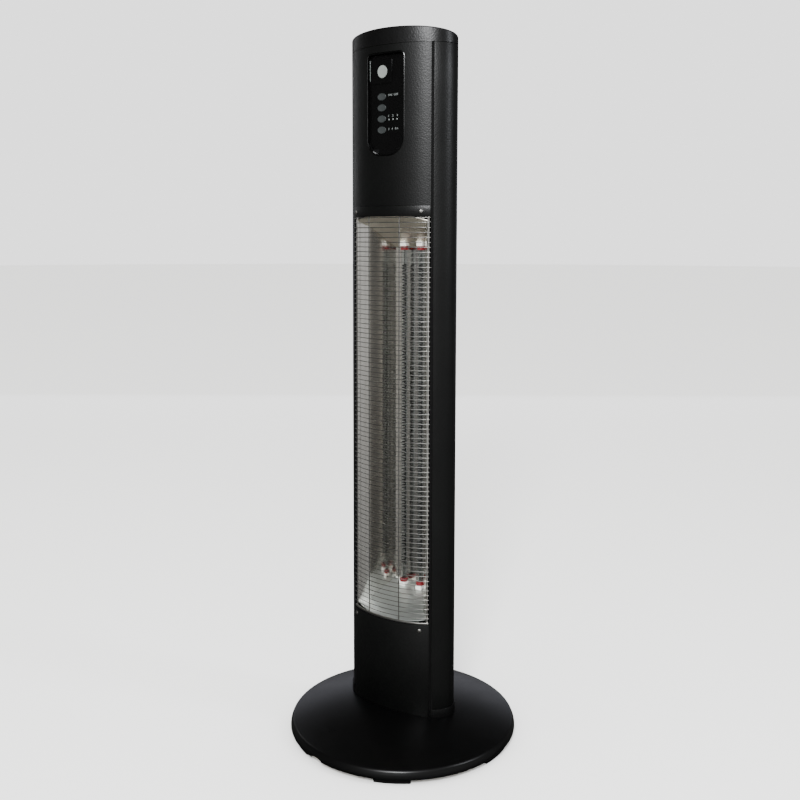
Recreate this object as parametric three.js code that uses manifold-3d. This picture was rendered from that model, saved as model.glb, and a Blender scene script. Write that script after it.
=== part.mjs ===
// Free-standing infrared tower heater: a tall oval column on a round domed base.
// Millimetres, +Z up, the front faces -Y. The origin is on the floor, under the middle of the base.
import * as THREE from 'three';
import { mergeVertices } from 'three/addons/utils/BufferGeometryUtils.js';
import Module from 'manifold-3d';

const wasm = await Module();
wasm.setup();

// ---------- driving sizes ----------

const fit = 0.3;                  // gap between pieces that touch
const sheet = 1.5;                // steel sheet of the column

// base
const baseRadius = 200;
const domeEdgeInset = 7;          // from the rim in to where the dome turns into it
const domeEdgeHeight = 24;
const domeRise = 32;              // height of the dome's middle above its edge
const rimShoulder = 16.5;         // height where the rim becomes upright
const rimBottom = 8.8;
const coverWall = 2.2;
const notchTurn = -11;            // degrees from the front, the small arch in the rim
const notchWidth = 27;
const notchHeight = 4.5;
const padCount = 6;
const padFirstTurn = 30;
const padArc = 18;                // degrees that one pad covers
const padWidth = 27;
const padInset = 5;               // from the rim in to the pads
const padPinRadius = 4;
const padPinLength = 6;

// column
const columnHalfWidth = 102;
const columnHalfDepth = 57;
const capSeam = 1188;             // height of the joint under the cap
const panelHalf = 79.5;           // half width of the front panels
const seamGroove = 3.5;           // open groove between the front panels and the housing
const flangeDepth = 5;            // how far the housing's front flanges lie behind the surface
const flangeHalf = 60;            // half width between these flanges, behind the panels
const chamberFlangeHalf = 76;     // the same in the heating chamber, where they are cut back
const panelReturn = 4.7;          // depth of the folded edges of the front panels
const collarHeight = 64;
const collarWall = 1.9;

// heating chamber
const chamberBottom = 217.5;
const upperSection = 280.5;       // from the chamber's top up to the cap's joint
const trimHeight = 17.5;
const lipWall = 1.5;
const lipReach = 0.97;            // share of the lower panel's width that its top lip spans

// guard
const wireSize = 2;
const wirePitch = 8.2;
const wireHalf = 79;
const uprightDepth = 1.8;         // how far the upright wires lie behind the surface
const uprightX = 75.5;            // the outermost uprights
const lowerRailHeight = 3.8;
const upperRailHeight = 3;
const upperRailDrop = 2.5;        // from the top of the trim down to the hidden upper rail

// reflector and end plates
const reflectorSheet = 0.8;
const reflectorDepth = 3.9;
const reflectorFlangeHalf = 74.5;
const reflectorKnee = [56, -18];
const reflectorBackHalf = 44;
const reflectorSetback = 17;      // from the column's back forward to the reflector's face
const endPlateWall = 1.2;
const lowerPlateSlope = 0.4;
const upperPlateSlope = 0.59;
const endPlateInset = 9;          // from the column's front back to the plates' front edges

// lamps
const lampSpacing = 35;
const lampSetback = 12;           // from the reflector's face forward to the lamps
const tubeRadius = 4.75;
const tubeWall = 1.2;
const coreRadius = 2.2;
const corePinRadius = 1;
const corePinLength = 9;
const sealWall = 0.95;
const sealLength = 5.7;
const ceramicWidth = 12;
const ceramicReach = 5;           // how far the ceramic block stands into the chamber
const ceramicLength = 16;
const bracketWall = 1.2;
const bracketHalf = 37;
const bracketDepth = 15;

// controls
const recessHalf = 38.5;
const recessDrop = 12;            // from the cap's joint down to the recess
const recessHeight = 169;
const recessTopRound = 9;
const recessFootRound = 30;
const recessDepth = 9;
const recessFloorInset = 2.2;
const recessLip = 1.2;
const recessFloorWall = 2;
const keyX = -10;
const roundKeyDrop = 30;          // from the recess's top down to the middle of the round key
const roundKeyRadius = 11;
const roundKeyProud = 2.6;
const ovalKeyDrops = [70.8, 88.9, 107, 125.1];
const ovalKeyHalfWidth = 9.3;
const ovalKeyHalfHeight = 6.2;
const ovalKeyProud = 1.8;
const keyTravel = 1;
const keyCollar = 1.4;
const keyCollarWall = 1.2;
const keyStemRadius = 2;
const windowSize = 39;
const windowWall = 1.2;
const lightBarX = -34.6;
const lightBarDrop = 27;
const lightBarWidth = 1.8;
const lightBarLength = 32;
const lightBarWall = 0.8;
const boardWall = 1.6;
const boardGap = 6;               // from the recess floor's back to the control board
const boardHalfWidth = 30;
const boardMargin = 14;
const bossRadius = 3;
const switchSize = 6;
const plugSize = [16, 7, 9];
const plugX = 18;

// cap
const capFrontHeight = 28;
const capSlope = 0.194;
const capWall = 2.5;
const capSpigotDepth = 7;
const capSpigotWall = 1.5;
const capSpigotLength = 8;

// frames inside, fasteners and small parts
const footPlateWall = 4;
const footWall = 3;
const footHeight = 36;
const bulkheadWall = 2;
const bulkheadRim = 18;
const bulkheadGap = 4;
const boltTurnX = 56;
const boltTurnY = 18;
const boltRadius = 4;
const boltHead = 6.5;
const boltHeadHeight = 5.3;
const boltLength = 30;
const screwRadius = 1.5;
const screwHead = 3.7;
const screwHeadHeight = 2.1;
const screwCrown = [[0.55, 0.85], [0.9, 0.45]];   // its round, as shares of radius and height
const screwLength = 7.5;
const screwHoleRoom = 0.3;
const leftScrewX = 71;
const rightScrewX = 65;
const upperScrewRise = 8.2;       // above the chamber
const lowerScrewDrop = 14;        // below the chamber
const rearScrewX = 60;
const rearScrewLift = 20;         // height of a rear screw above the plate it holds
const rearScrewLength = 6;
const ventCount = 7;
const ventPitch = 9;
const ventHeight = 3.5;
const ventHalf = 28;
const ventDrop = 128;             // from the cap's joint down to the lowest slot
const inletHeight = 105;
const inletRadius = 8;
const inletFlange = 11;
const inletBore = 4;
const inletWall = 3;
const powerBoardSize = [96, 100];
const powerBoardY = 30;
const relaySize = [19, 15, 16];
const relayLift = 30;
const transformerSize = [30, 24, 26];
const transformerLift = 72;
const boardOverlap = 0.5;         // how far the parts on the power board sink into it
const cutoutDrop = 207.5;         // from the chamber's top
const cutoutRadius = 8;
const cutoutDepth = 7;
const tiltX = 20;
const tiltY = -8;
const tiltWidth = 26;
const tiltHeight = 34;
const tiltGap = 12;
const tiltWall = 1.5;
const tiltPin = 1.5;
const tiltArm = 22;
const tiltWeightRadius = 5;
const tiltWeightWall = 8;

// ---------- places worked out from the sizes ----------

const domeEdgeRadius = baseRadius - domeEdgeInset;
const domeTop = domeEdgeHeight + domeRise;
const domeAt = (radius) => domeTop - domeRise * (radius / domeEdgeRadius) ** 2;
const turnAtX = (x) => Math.asin(x / columnHalfWidth);
const panelTurn = turnAtX(panelHalf);
const seamTurn = turnAtX(panelHalf + seamGroove);
const flangeTurn = turnAtX(flangeHalf);
const seatTurn = turnAtX(panelHalf + seamGroove + sheet + 2 * fit);
const flangeBack = flangeDepth + sheet;
const lowerPanelTop = chamberBottom - lowerRailHeight - fit;
const chamberTop = capSeam - upperSection;
const trimTop = chamberTop + trimHeight;
const padOuter = baseRadius - padInset;
const padInner = padOuter - padWidth;
const footPlateTop = domeTop + fit + footPlateWall;
const bulkheadBottom = trimTop + bulkheadGap;
const chamberMiddle = (chamberBottom + chamberTop) / 2;
const reflectorBack = [reflectorBackHalf, columnHalfDepth - reflectorSetback];
const lampY = reflectorBack[1] - lampSetback;
const endPlateFrontY = endPlateInset - columnHalfDepth;
const recessFloorY = recessDepth - columnHalfDepth;
const endPlateAt = (y, slope) => chamberBottom + slope * (y - endPlateFrontY);
const ceramicTopAt = (slope) => endPlateAt(lampY, slope) + ceramicReach;
const tubeEndAt = (slope) => ceramicTopAt(slope) + fit;
const tubeBottom = tubeEndAt(lowerPlateSlope);
const tubeTop = 2 * chamberMiddle - tubeEndAt(upperPlateSlope);
const recessTop = capSeam - recessDrop;
const recessBottom = recessTop - recessHeight;
const roundKeyHeight = recessTop - roundKeyDrop;
const ovalKeyHeights = ovalKeyDrops.map((drop) => recessTop - drop);
const floorBackY = recessFloorY + recessFloorWall;
const boardY = floorBackY + boardGap;

// ---------- solids ----------

/** A closed three.js geometry as a solid that can be joined and cut. */
function solid(geometry) {
  const bare = geometry.clone();
  bare.deleteAttribute('normal');
  bare.deleteAttribute('uv');
  const merged = mergeVertices(bare, 1e-4);
  const place = merged.attributes.position;
  const corners = merged.index.array;
  const kept = [];
  let volume = 0;
  const a = new THREE.Vector3();
  const b = new THREE.Vector3();
  const c = new THREE.Vector3();
  for (let i = 0; i < corners.length; i += 3) {
    const [p, q, r] = [corners[i], corners[i + 1], corners[i + 2]];
    if (p === q || q === r || r === p) continue;
    kept.push([p, q, r]);
    a.fromBufferAttribute(place, p);
    b.fromBufferAttribute(place, q);
    c.fromBufferAttribute(place, r);
    volume += a.dot(b.cross(c));
  }
  const outward = volume < 0 ? kept.map(([p, q, r]) => [p, r, q]) : kept;
  return new wasm.Manifold(new wasm.Mesh({
    numProp: 3,
    vertProperties: new Float32Array(place.array),
    triVerts: new Uint32Array(outward.flat()),
  }));
}

/** The solid's surface as a three.js geometry. */
function surface(body) {
  const mesh = body.getMesh();
  const geometry = new THREE.BufferGeometry();
  geometry.setAttribute('position', new THREE.BufferAttribute(new Float32Array(mesh.vertProperties), 3));
  geometry.setIndex(new THREE.BufferAttribute(new Uint32Array(mesh.triVerts), 1));
  return geometry;
}

/** A flat outline of [x, y] points pulled up from one height to another. */
function pullUp(outline, bottom, top) {
  const shape = new THREE.Shape(outline.map(([x, y]) => new THREE.Vector2(x, y)));
  const geometry = new THREE.ExtrudeGeometry(shape, { depth: top - bottom, bevelEnabled: false });
  return solid(geometry.translate(0, 0, bottom));
}

/** An outline of [x, z] points, seen from the front, pulled back from one y to another. */
function pullBack(outline, front, back) {
  const shape = new THREE.Shape(outline.map(([x, z]) => new THREE.Vector2(x, z)));
  const geometry = new THREE.ExtrudeGeometry(shape, { depth: back - front, bevelEnabled: false });
  return solid(geometry.rotateX(Math.PI / 2).translate(0, back, 0));
}

/** A profile of [radius, height] points turned about the vertical axis. */
function turned(profile, sides) {
  const points = profile.map(([radius, height]) => new THREE.Vector2(radius, height));
  return solid(new THREE.LatheGeometry([...points, points[0]], sides).rotateX(Math.PI / 2));
}

/** A tapered hollow between two outlines of [x, z] points with as many corners. */
function taper(frontOutline, front, backOutline, back) {
  const count = frontOutline.length;
  const place = [];
  for (const [x, z] of frontOutline) place.push(x, front, z);
  for (const [x, z] of backOutline) place.push(x, back, z);
  const flat = frontOutline.map(([x, z]) => new THREE.Vector2(x, z));
  const faces = THREE.ShapeUtils.triangulateShape(flat, []);
  const corners = [];
  for (const [p, q, r] of faces) corners.push(p, q, r, count + r, count + q, count + p);
  for (let i = 0; i < count; i += 1) {
    const next = (i + 1) % count;
    corners.push(i, count + i, next, next, count + i, count + next);
  }
  const geometry = new THREE.BufferGeometry();
  geometry.setAttribute('position', new THREE.Float32BufferAttribute(place, 3));
  geometry.setIndex(corners);
  return solid(geometry);
}

const block = (width, depth, height, x, y, z) => (
  solid(new THREE.BoxGeometry(width, depth, height).translate(x, y, z)));

/** An upright rod between two heights. */
const rod = (radius, bottom, top, x, y, sides = 12) => (
  solid(new THREE.CylinderGeometry(radius, radius, top - bottom, sides)
    .rotateX(Math.PI / 2).translate(x, y, (top + bottom) / 2)));

/** A rod that runs from front to back. */
const pin = (radius, front, back, x, z, sides = 12) => (
  solid(new THREE.CylinderGeometry(radius, radius, back - front, sides)
    .translate(x, (front + back) / 2, z)));

const joined = (bodies) => bodies.reduce((whole, next) => whole.add(next));
const upsideDown = (body) => body.mirror([0, 0, 1]).translate([0, 0, 2 * chamberMiddle]);

// ---------- outlines ----------

/** The unit vector that points out of the column's oval at this turn from the front. */
function ovalNormal(turn) {
  const normal = [Math.sin(turn) / columnHalfWidth, -Math.cos(turn) / columnHalfDepth];
  const length = Math.hypot(...normal);
  return [normal[0] / length, normal[1] / length];
}

/** A point on the column's oval, sunk straight in by a depth. */
function ovalPoint(turn, depth = 0) {
  const normal = ovalNormal(turn);
  return [
    columnHalfWidth * Math.sin(turn) - depth * normal[0],
    -columnHalfDepth * Math.cos(turn) - depth * normal[1],
  ];
}

const ovalRun = (from, to, depth, steps) => (
  Array.from({ length: steps + 1 }, (_, i) => ovalPoint(from + (to - from) * i / steps, depth)));

/** A path with a thickness on its left side, as a closed outline. */
function strip(path, thickness) {
  const side = path.map((point, i) => {
    const before = path[Math.max(i - 1, 0)];
    const after = path[Math.min(i + 1, path.length - 1)];
    const first = unit(before, i === 0 ? after : point);
    const second = unit(i === path.length - 1 ? before : point, after);
    const sum = [first[0] + second[0], first[1] + second[1]];
    const stretch = 2 * thickness / (sum[0] ** 2 + sum[1] ** 2);
    return [point[0] - sum[1] * stretch, point[1] + sum[0] * stretch];
  });
  return [...path, ...side.reverse()];
}

function unit(from, to) {
  const step = [to[0] - from[0], to[1] - from[1]];
  const length = Math.hypot(...step);
  return [step[0] / length, step[1] / length];
}

/** The inside of the column: shallow behind the front flanges, full width behind the housing. */
function insideOutline(frontDepth, rearDepth) {
  return [
    ...ovalRun(-seatTurn, seatTurn, frontDepth, 12),
    ...ovalRun(seatTurn, 2 * Math.PI - seatTurn, rearDepth, 28),
  ];
}

/** The rounded window of the controls, seen from the front, made smaller by an inset. */
function recessOutline(inset) {
  const half = recessHalf - inset;
  const corners = [
    [half, recessTop - inset, recessTopRound, 0],
    [-half, recessTop - inset, recessTopRound, 1],
    [-half, recessBottom + inset, recessFootRound, 2],
    [half, recessBottom + inset, recessFootRound, 3],
  ];
  const steps = 5;
  return corners.flatMap(([x, z, fullRound, quarter]) => {
    const round = Math.max(fullRound - inset, 1);
    const middle = [x - Math.sign(x) * round, z + (quarter < 2 ? -round : round)];
    return Array.from({ length: steps + 1 }, (_, i) => {
      const turn = (quarter + i / steps) * Math.PI / 2;
      return [middle[0] + round * Math.cos(turn), middle[1] + round * Math.sin(turn)];
    });
  });
}

/** An upright ellipse of [x, z] points, seen from the front. */
const ellipse = (halfWidth, halfHeight, x, z, steps = 20) => (
  Array.from({ length: steps }, (_, i) => {
    const turn = i * 2 * Math.PI / steps;
    return [x + halfWidth * Math.cos(turn), z + halfHeight * Math.sin(turn)];
  }));

// ---------- base ----------

/** The dome from its middle to the rim, raised or lowered by an offset. */
function domeRun(offset, edge) {
  const steps = 6;
  return Array.from({ length: steps + 1 }, (_, i) => {
    const radius = edge * i / steps;
    return [radius, domeAt(radius) + offset];
  });
}

const baseSides = 48;

function baseCover() {
  const shoulder = [baseRadius - 0.8, domeEdgeHeight - 1.8];
  const outside = [
    ...domeRun(0, domeEdgeRadius),
    [baseRadius - 3, domeEdgeHeight - 0.8 * coverWall],
    shoulder,
    [baseRadius, rimShoulder],
    [baseRadius, rimBottom],
  ];
  const inside = [
    [baseRadius - coverWall, rimBottom],
    [baseRadius - coverWall, rimShoulder],
    [baseRadius - 2 * coverWall, domeEdgeHeight - 2 * coverWall],
    ...domeRun(-coverWall, domeEdgeRadius - coverWall).reverse(),
  ];
  const whole = turned([...outside, ...inside], baseSides);
  const arch = ellipse(notchWidth / 2, notchHeight, 0, rimBottom, 12);
  const tunnel = pullBack(arch, -baseRadius - coverWall, -baseRadius + 4 * coverWall)
    .rotate([0, 0, notchTurn]);
  return boltHoles(whole.subtract(tunnel));
}

function baseWeight() {
  const edge = baseRadius - coverWall - 4 * fit;
  const crown = domeRun(-coverWall - fit, domeEdgeRadius - 3 * coverWall);
  const profile = [...crown, [edge, rimShoulder - coverWall], [edge, rimBottom], [0, rimBottom]];
  const pinHoles = padTurns().map((turn) => (
    rod(padPinRadius + fit, rimBottom - 1, rimBottom + padPinLength + fit, ...padMiddle(turn), 8)));
  return boltHoles(turned(profile, baseSides).subtract(joined(pinHoles)));
}

const padTurns = () => (
  Array.from({ length: padCount }, (_, i) => padFirstTurn + i * 360 / padCount));

function padMiddle(turn) {
  const angle = THREE.MathUtils.degToRad(turn);
  const radius = (padInner + padOuter) / 2;
  return [radius * Math.sin(angle), -radius * Math.cos(angle)];
}

function footPad(turn) {
  const steps = 6;
  const along = (radius, back) => Array.from({ length: steps + 1 }, (_, i) => {
    const part = back ? 1 - i / steps : i / steps;
    const angle = THREE.MathUtils.degToRad(turn + padArc * (part - 0.5));
    return [radius * Math.sin(angle), -radius * Math.cos(angle)];
  });
  const pad = pullUp([...along(padOuter, false), ...along(padInner, true)], 0, rimBottom - fit);
  const stud = rod(padPinRadius, rimBottom - 1, rimBottom + padPinLength - fit, ...padMiddle(turn), 8);
  return pad.add(stud);
}

const boltPlaces = () => (
  [[1, -1], [1, 1], [-1, 1], [-1, -1]].map(([sx, sy]) => [sx * boltTurnX, sy * boltTurnY]));

function boltHoles(body) {
  const bottom = footPlateTop - boltLength - fit;
  const holes = boltPlaces().map(([x, y]) => rod(boltRadius + fit, bottom, footPlateTop + 1, x, y, 8));
  return body.subtract(joined(holes));
}

function footBolt([x, y]) {
  const head = rod(boltHead, footPlateTop + fit, footPlateTop + fit + boltHeadHeight, x, y, 6);
  const shank = rod(boltRadius, footPlateTop - boltLength, footPlateTop + 1, x, y, 8);
  return head.add(shank);
}

/** Everything above the dome, with a small gap: it trims what stands on the base. */
const aboveDome = (body) => (
  body.subtract(turned([...domeRun(fit, domeEdgeRadius), [domeEdgeRadius, 0], [0, 0]], baseSides)));

// ---------- column ----------

/** A screw that stands square on the column's surface, with its head outside. */
function surfaceScrew(x, height, length, rear = false, sides = 8) {
  const turn = rear ? Math.PI - turnAtX(x) : turnAtX(x);
  const normal = ovalNormal(turn);
  const angle = Math.atan2(normal[0], -normal[1]);
  const seat = ovalPoint(turn, 0);
  const place = (body) => body.rotate([0, 0, THREE.MathUtils.radToDeg(angle)])
    .translate([seat[0], seat[1], height]);
  const round = [
    [0, screwHeadHeight],
    ...screwCrown.map(([radius, height]) => [screwHead * radius, screwHeadHeight * height]),
    [screwHead, fit], [0, fit],
  ];
  const head = turned(round, 12).rotate([90, 0, 0]);
  const shank = pin(screwRadius, -2 * fit, length, 0, 0, sides);
  const hole = pin(screwRadius + screwHoleRoom, -2, length + 2, 0, 0, sides);
  return { piece: place(head.add(shank)), hole: place(hole) };
}

const upperScrewHeight = chamberTop + upperScrewRise;
const lowerScrewHeight = chamberBottom - lowerScrewDrop;
const panelScrews = {
  upper_right: surfaceScrew(rightScrewX, upperScrewHeight, screwLength),
  upper_left: surfaceScrew(-leftScrewX, upperScrewHeight, screwLength),
  lower_right: surfaceScrew(rightScrewX, lowerScrewHeight, screwLength),
  lower_left: surfaceScrew(-leftScrewX, lowerScrewHeight, screwLength),
};

const rearScrews = {
  foot_right: surfaceScrew(rearScrewX, footPlateTop + rearScrewLift, rearScrewLength, true),
  foot_left: surfaceScrew(-rearScrewX, footPlateTop + rearScrewLift, rearScrewLength, true),
  top_right: surfaceScrew(rearScrewX, bulkheadBottom + bulkheadRim / 2, rearScrewLength, true),
  top_left: surfaceScrew(-rearScrewX, bulkheadBottom + bulkheadRim / 2, rearScrewLength, true),
};

const screwHoles = (screws) => joined(Object.values(screws).map((screw) => screw.hole));

function rearHousing() {
  const flange = (side, depth) => ovalRun(side * seamTurn, side * flangeTurn, depth, 3);
  const innerTurn = turnAtX(panelHalf + seamGroove + sheet);
  const outline = [
    ...ovalRun(seamTurn, 2 * Math.PI - seamTurn, 0, 40),
    ...flange(-1, flangeDepth),
    ...ovalRun(-flangeTurn, -innerTurn, flangeBack, 3),
    ...ovalRun(2 * Math.PI - innerTurn, innerTurn, sheet, 40),
    ...ovalRun(innerTurn, flangeTurn, flangeBack, 3),
    ...flange(1, flangeDepth).reverse(),
  ];
  const shell = aboveDome(pullUp(outline, domeEdgeHeight, capSeam - 2 * fit));
  const vents = Array.from({ length: ventCount }, (_, i) => {
    const middle = capSeam - ventDrop + i * ventPitch;
    return block(2 * ventHalf, columnHalfDepth, ventHeight, 0, columnHalfDepth, middle);
  });
  const inlet = pin(inletRadius + fit, 0, columnHalfDepth + 1, 0, inletHeight, 16);
  const opening = block(2 * chamberFlangeHalf, columnHalfDepth, chamberTop - chamberBottom,
    0, -columnHalfDepth, chamberMiddle);
  return shell.subtract(joined([...vents, inlet, opening]))
    .subtract(screwHoles(panelScrews)).subtract(screwHoles(rearScrews));
}

/** A front panel: the front of the oval, with both upright edges folded in. */
function frontPanel(bottom, top) {
  const edge = (side) => ovalPoint(side * panelTurn, panelReturn);
  const path = [edge(-1), ...ovalRun(-panelTurn, panelTurn, 0, 26), edge(1)];
  return pullUp(strip(path, sheet), bottom, top);
}

function lowerPanel() {
  const lip = [
    ...ovalRun(-panelTurn * lipReach, panelTurn * lipReach, sheet / 2, 26),
    ...ovalRun(panelTurn * lipReach, -panelTurn * lipReach, panelReturn, 26),
  ];
  const folded = pullUp(lip, lowerPanelTop - lipWall, lowerPanelTop);
  return aboveDome(frontPanel(domeEdgeHeight, lowerPanelTop).add(folded))
    .subtract(screwHoles(panelScrews));
}

function upperPanel() {
  const window = pullBack(recessOutline(0), -2 * columnHalfDepth, 0);
  return frontPanel(trimTop + fit, capSeam - 2 * fit).subtract(window);
}

const topTrim = () => frontPanel(chamberTop, trimTop).subtract(screwHoles(panelScrews));

function footCollar() {
  const outline = [
    ...ovalRun(seamTurn, 2 * Math.PI - seamTurn, -fit - collarWall, 32),
    ...ovalRun(2 * Math.PI - seamTurn, seamTurn, -fit, 32),
  ];
  return aboveDome(pullUp(outline, domeEdgeHeight, collarHeight));
}

function topCap() {
  const around = (depth, bottom) => (
    pullUp(ovalRun(0, 2 * Math.PI, depth, 48).slice(0, 48), bottom, capSeam + 2 * capFrontHeight));
  const slanted = (body, drop) => {
    const tilt = Math.atan(capSlope);
    const normal = [0, -Math.sin(tilt), -Math.cos(tilt)];
    const front = capSeam + capFrontHeight - drop;
    const offset = normal[1] * -columnHalfDepth + normal[2] * front;
    return body.trimByPlane(normal, offset);
  };
  const shell = slanted(around(0, capSeam), 0).subtract(slanted(around(capWall, capSeam - 1), capWall));
  const spigot = around(capSpigotDepth, capSeam - capSpigotLength)
    .subtract(around(capSpigotDepth + capSpigotWall, capSeam - capSpigotLength - 1));
  return shell.add(slanted(spigot, capWall / 2));
}

/** A tray inside the column, with an upright rim that meets the housing. */
function tray(bottom, wall, rimWall, height) {
  const frontDepth = flangeBack + fit;
  const rearDepth = sheet + fit;
  const whole = pullUp(insideOutline(frontDepth, rearDepth), bottom, bottom + height);
  const room = insideOutline(frontDepth + rimWall, rearDepth + rimWall);
  return whole.subtract(pullUp(room, bottom + wall, bottom + height + 1))
    .subtract(screwHoles(rearScrews)).subtract(screwHoles(panelScrews));
}

const columnFoot = () => boltHoles(tray(domeTop + fit, footPlateWall, footWall, footHeight));
const upperBulkhead = () => tray(bulkheadBottom, bulkheadWall, sheet, bulkheadRim);

// ---------- heating chamber ----------

function guard() {
  const wireTurn = turnAtX(wireHalf);
  const count = Math.floor((chamberTop - chamberBottom) / wirePitch);
  const path = ovalRun(-wireTurn, wireTurn, 0, 4);
  const wires = Array.from({ length: count }, (_, i) => {
    const bottom = chamberBottom + (i + 1) * wirePitch - wireSize;
    return pullUp(strip(path, wireSize), bottom, bottom + wireSize);
  });
  const railDepth = uprightDepth + wireSize;
  const railTurn = turnAtX(wireHalf - panelReturn / 2);
  const lowerRail = pullUp(
    strip(ovalRun(-wireTurn, wireTurn, fit, 20), railDepth - fit),
    chamberBottom - lowerRailHeight, chamberBottom);
  const hiddenTop = trimTop - upperRailDrop;
  const upperRail = pullUp(
    strip(ovalRun(-railTurn, railTurn, uprightDepth, 20), wireSize),
    hiddenTop - upperRailHeight, hiddenTop);
  const uprights = [uprightX, -uprightX].map((x) => {
    const from = turnAtX(x - wireSize / 2);
    const to = turnAtX(x + wireSize / 2);
    const outline = [
      ovalPoint(from, uprightDepth), ovalPoint(to, uprightDepth),
      ovalPoint(to, railDepth), ovalPoint(from, railDepth),
    ];
    return pullUp(outline, chamberBottom - 1, hiddenTop - 1);
  });
  return joined([...wires, lowerRail, upperRail, ...uprights]);
}

/** The reflector's face from the left flange, round the back, to the right flange. */
function reflectorFace() {
  const outerTurn = turnAtX(panelHalf - sheet - 2 * fit);
  const flange = ovalRun(turnAtX(reflectorFlangeHalf), outerTurn, reflectorDepth, 4);
  const right = [reflectorBack, reflectorKnee, ...flange];
  const left = right.map(([x, y]) => [-x, y]).reverse();
  return [...left, ...right];
}

const reflector = () => (
  pullUp(strip(reflectorFace(), reflectorSheet), chamberBottom + fit, chamberTop - fit));

/** An end plate's slab, as wide as asked, between two heights above its face. */
function slopedSlab(outline, slope, under, over) {
  const low = endPlateAt(-columnHalfDepth, slope) + under;
  const raised = pullUp(outline, low - 1, endPlateAt(columnHalfDepth, slope) + over + 1);
  const tilt = Math.atan(slope);
  const normal = [0, -Math.sin(tilt), Math.cos(tilt)];
  const height = (offset) => (
    normal[1] * endPlateFrontY + normal[2] * (chamberBottom + offset));
  return raised.trimByPlane(normal, height(under))
    .trimByPlane(normal.map((value) => -value), -height(over));
}

/** The room between the reflector's faces and behind the guard. */
function chamberOutline() {
  const frontTurn = turnAtX(reflectorFlangeHalf - 1);
  return [
    ...ovalRun(-frontTurn, frontTurn, uprightDepth + wireSize + fit, 16),
    [reflectorKnee[0] - fit, reflectorKnee[1]],
    [reflectorBack[0] - fit, reflectorBack[1] - fit],
    [-reflectorBack[0] + fit, reflectorBack[1] - fit],
    [-reflectorKnee[0] + fit, reflectorKnee[1]],
  ];
}

const lampPlaces = [-lampSpacing / 2, lampSpacing / 2];

function endPlate(slope) {
  const plate = slopedSlab(chamberOutline(), slope, -endPlateWall, 0);
  const size = ceramicWidth + 2 * fit;
  const holes = lampPlaces.map((x) => (
    block(size, size, 4 * ceramicLength, x, lampY, ceramicTopAt(slope))));
  return plate.subtract(joined(holes));
}

function ceramicBlock(x, slope) {
  const middle = ceramicTopAt(slope) - ceramicLength / 2;
  return block(ceramicWidth, ceramicWidth, ceramicLength, x, lampY, middle);
}

function lampBracket(slope) {
  const top = ceramicTopAt(slope) - ceramicLength - fit;
  const strap = block(2 * bracketHalf, bracketDepth, bracketWall, 0, lampY, top - bracketWall / 2);
  const legHeight = 2 * ceramicLength;
  const legs = [-1, 1].map((side) => block(bracketWall, bracketDepth, legHeight,
    side * (bracketHalf - bracketWall / 2), lampY, top - bracketWall + legHeight / 2));
  const above = slopedSlab(
    [[-2 * bracketHalf, -2 * bracketDepth], [2 * bracketHalf, -2 * bracketDepth],
      [2 * bracketHalf, 5 * bracketDepth], [-2 * bracketHalf, 5 * bracketDepth]],
    slope, -endPlateWall - fit, 4 * ceramicLength);
  return joined([strap, ...legs]).subtract(above);
}

const ring = (outer, inner, bottom, top, x, y, sides = 16) => (
  rod(outer, bottom, top, x, y, sides).subtract(rod(inner, bottom - 1, top + 1, x, y, sides)));

const lampTube = (x) => ring(tubeRadius, tubeRadius - tubeWall, tubeBottom, tubeTop, x, lampY);

const lampSeal = (x, slope) => ring(tubeRadius + fit + sealWall, tubeRadius + fit,
  tubeEndAt(slope), tubeEndAt(slope) + sealLength, x, lampY);

function heaterCore(x) {
  const thin = rod(corePinRadius, tubeBottom, tubeTop, x, lampY, 8);
  return thin.add(rod(coreRadius, tubeBottom + corePinLength, tubeTop - corePinLength, x, lampY, 10));
}

function thermalCutout() {
  const back = reflectorBack[1] + reflectorSheet + fit;
  return pin(cutoutRadius, back, back + cutoutDepth, 0, chamberTop - cutoutDrop, 16);
}

// ---------- controls ----------

const ovalKeyOutline = (height, grow) => (
  ellipse(ovalKeyHalfWidth + grow, ovalKeyHalfHeight + grow, keyX, height));
const roundKeyOutline = (grow) => (
  ellipse(roundKeyRadius + grow, roundKeyRadius + grow, keyX, roundKeyHeight, 24));

const bossPlaces = () => {
  const x = boardHalfWidth - bossRadius - 1;
  return [recessBottom + boardMargin, recessTop - boardMargin].flatMap((z) => [[x, z], [-x, z]]);
};

function controlPanel() {
  const skin = pullUp(ovalRun(0, 2 * Math.PI, fit, 90).slice(0, 90), recessBottom, recessTop);
  const body = pullBack(recessOutline(fit), -2 * columnHalfDepth, floorBackY).intersect(skin);
  const hollow = taper(recessOutline(fit + recessLip), -columnHalfDepth - 1,
    recessOutline(fit + recessFloorInset), recessFloorY);
  const keyHoles = [
    pullBack(roundKeyOutline(fit), recessFloorY - 1, floorBackY + 1),
    ...ovalKeyHeights.map((z) => pullBack(ovalKeyOutline(z, fit), recessFloorY - 1, floorBackY + 1)),
  ];
  const bosses = bossPlaces().map(([x, z]) => pin(bossRadius, floorBackY - 1, boardY - fit, x, z, 10));
  return joined([body.subtract(hollow), ...bosses]).subtract(joined(keyHoles));
}

function sensorWindow() {
  const half = windowSize / 2;
  const outline = [[-half, -half], [half, -half], [half, half], [-half, half]]
    .map(([x, z]) => [keyX + x, roundKeyHeight + z]);
  const hole = pullBack(roundKeyOutline(fit), recessFloorY - 2 * windowWall, recessFloorY);
  return pullBack(outline, recessFloorY - windowWall - fit, recessFloorY - fit).subtract(hole);
}

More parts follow.
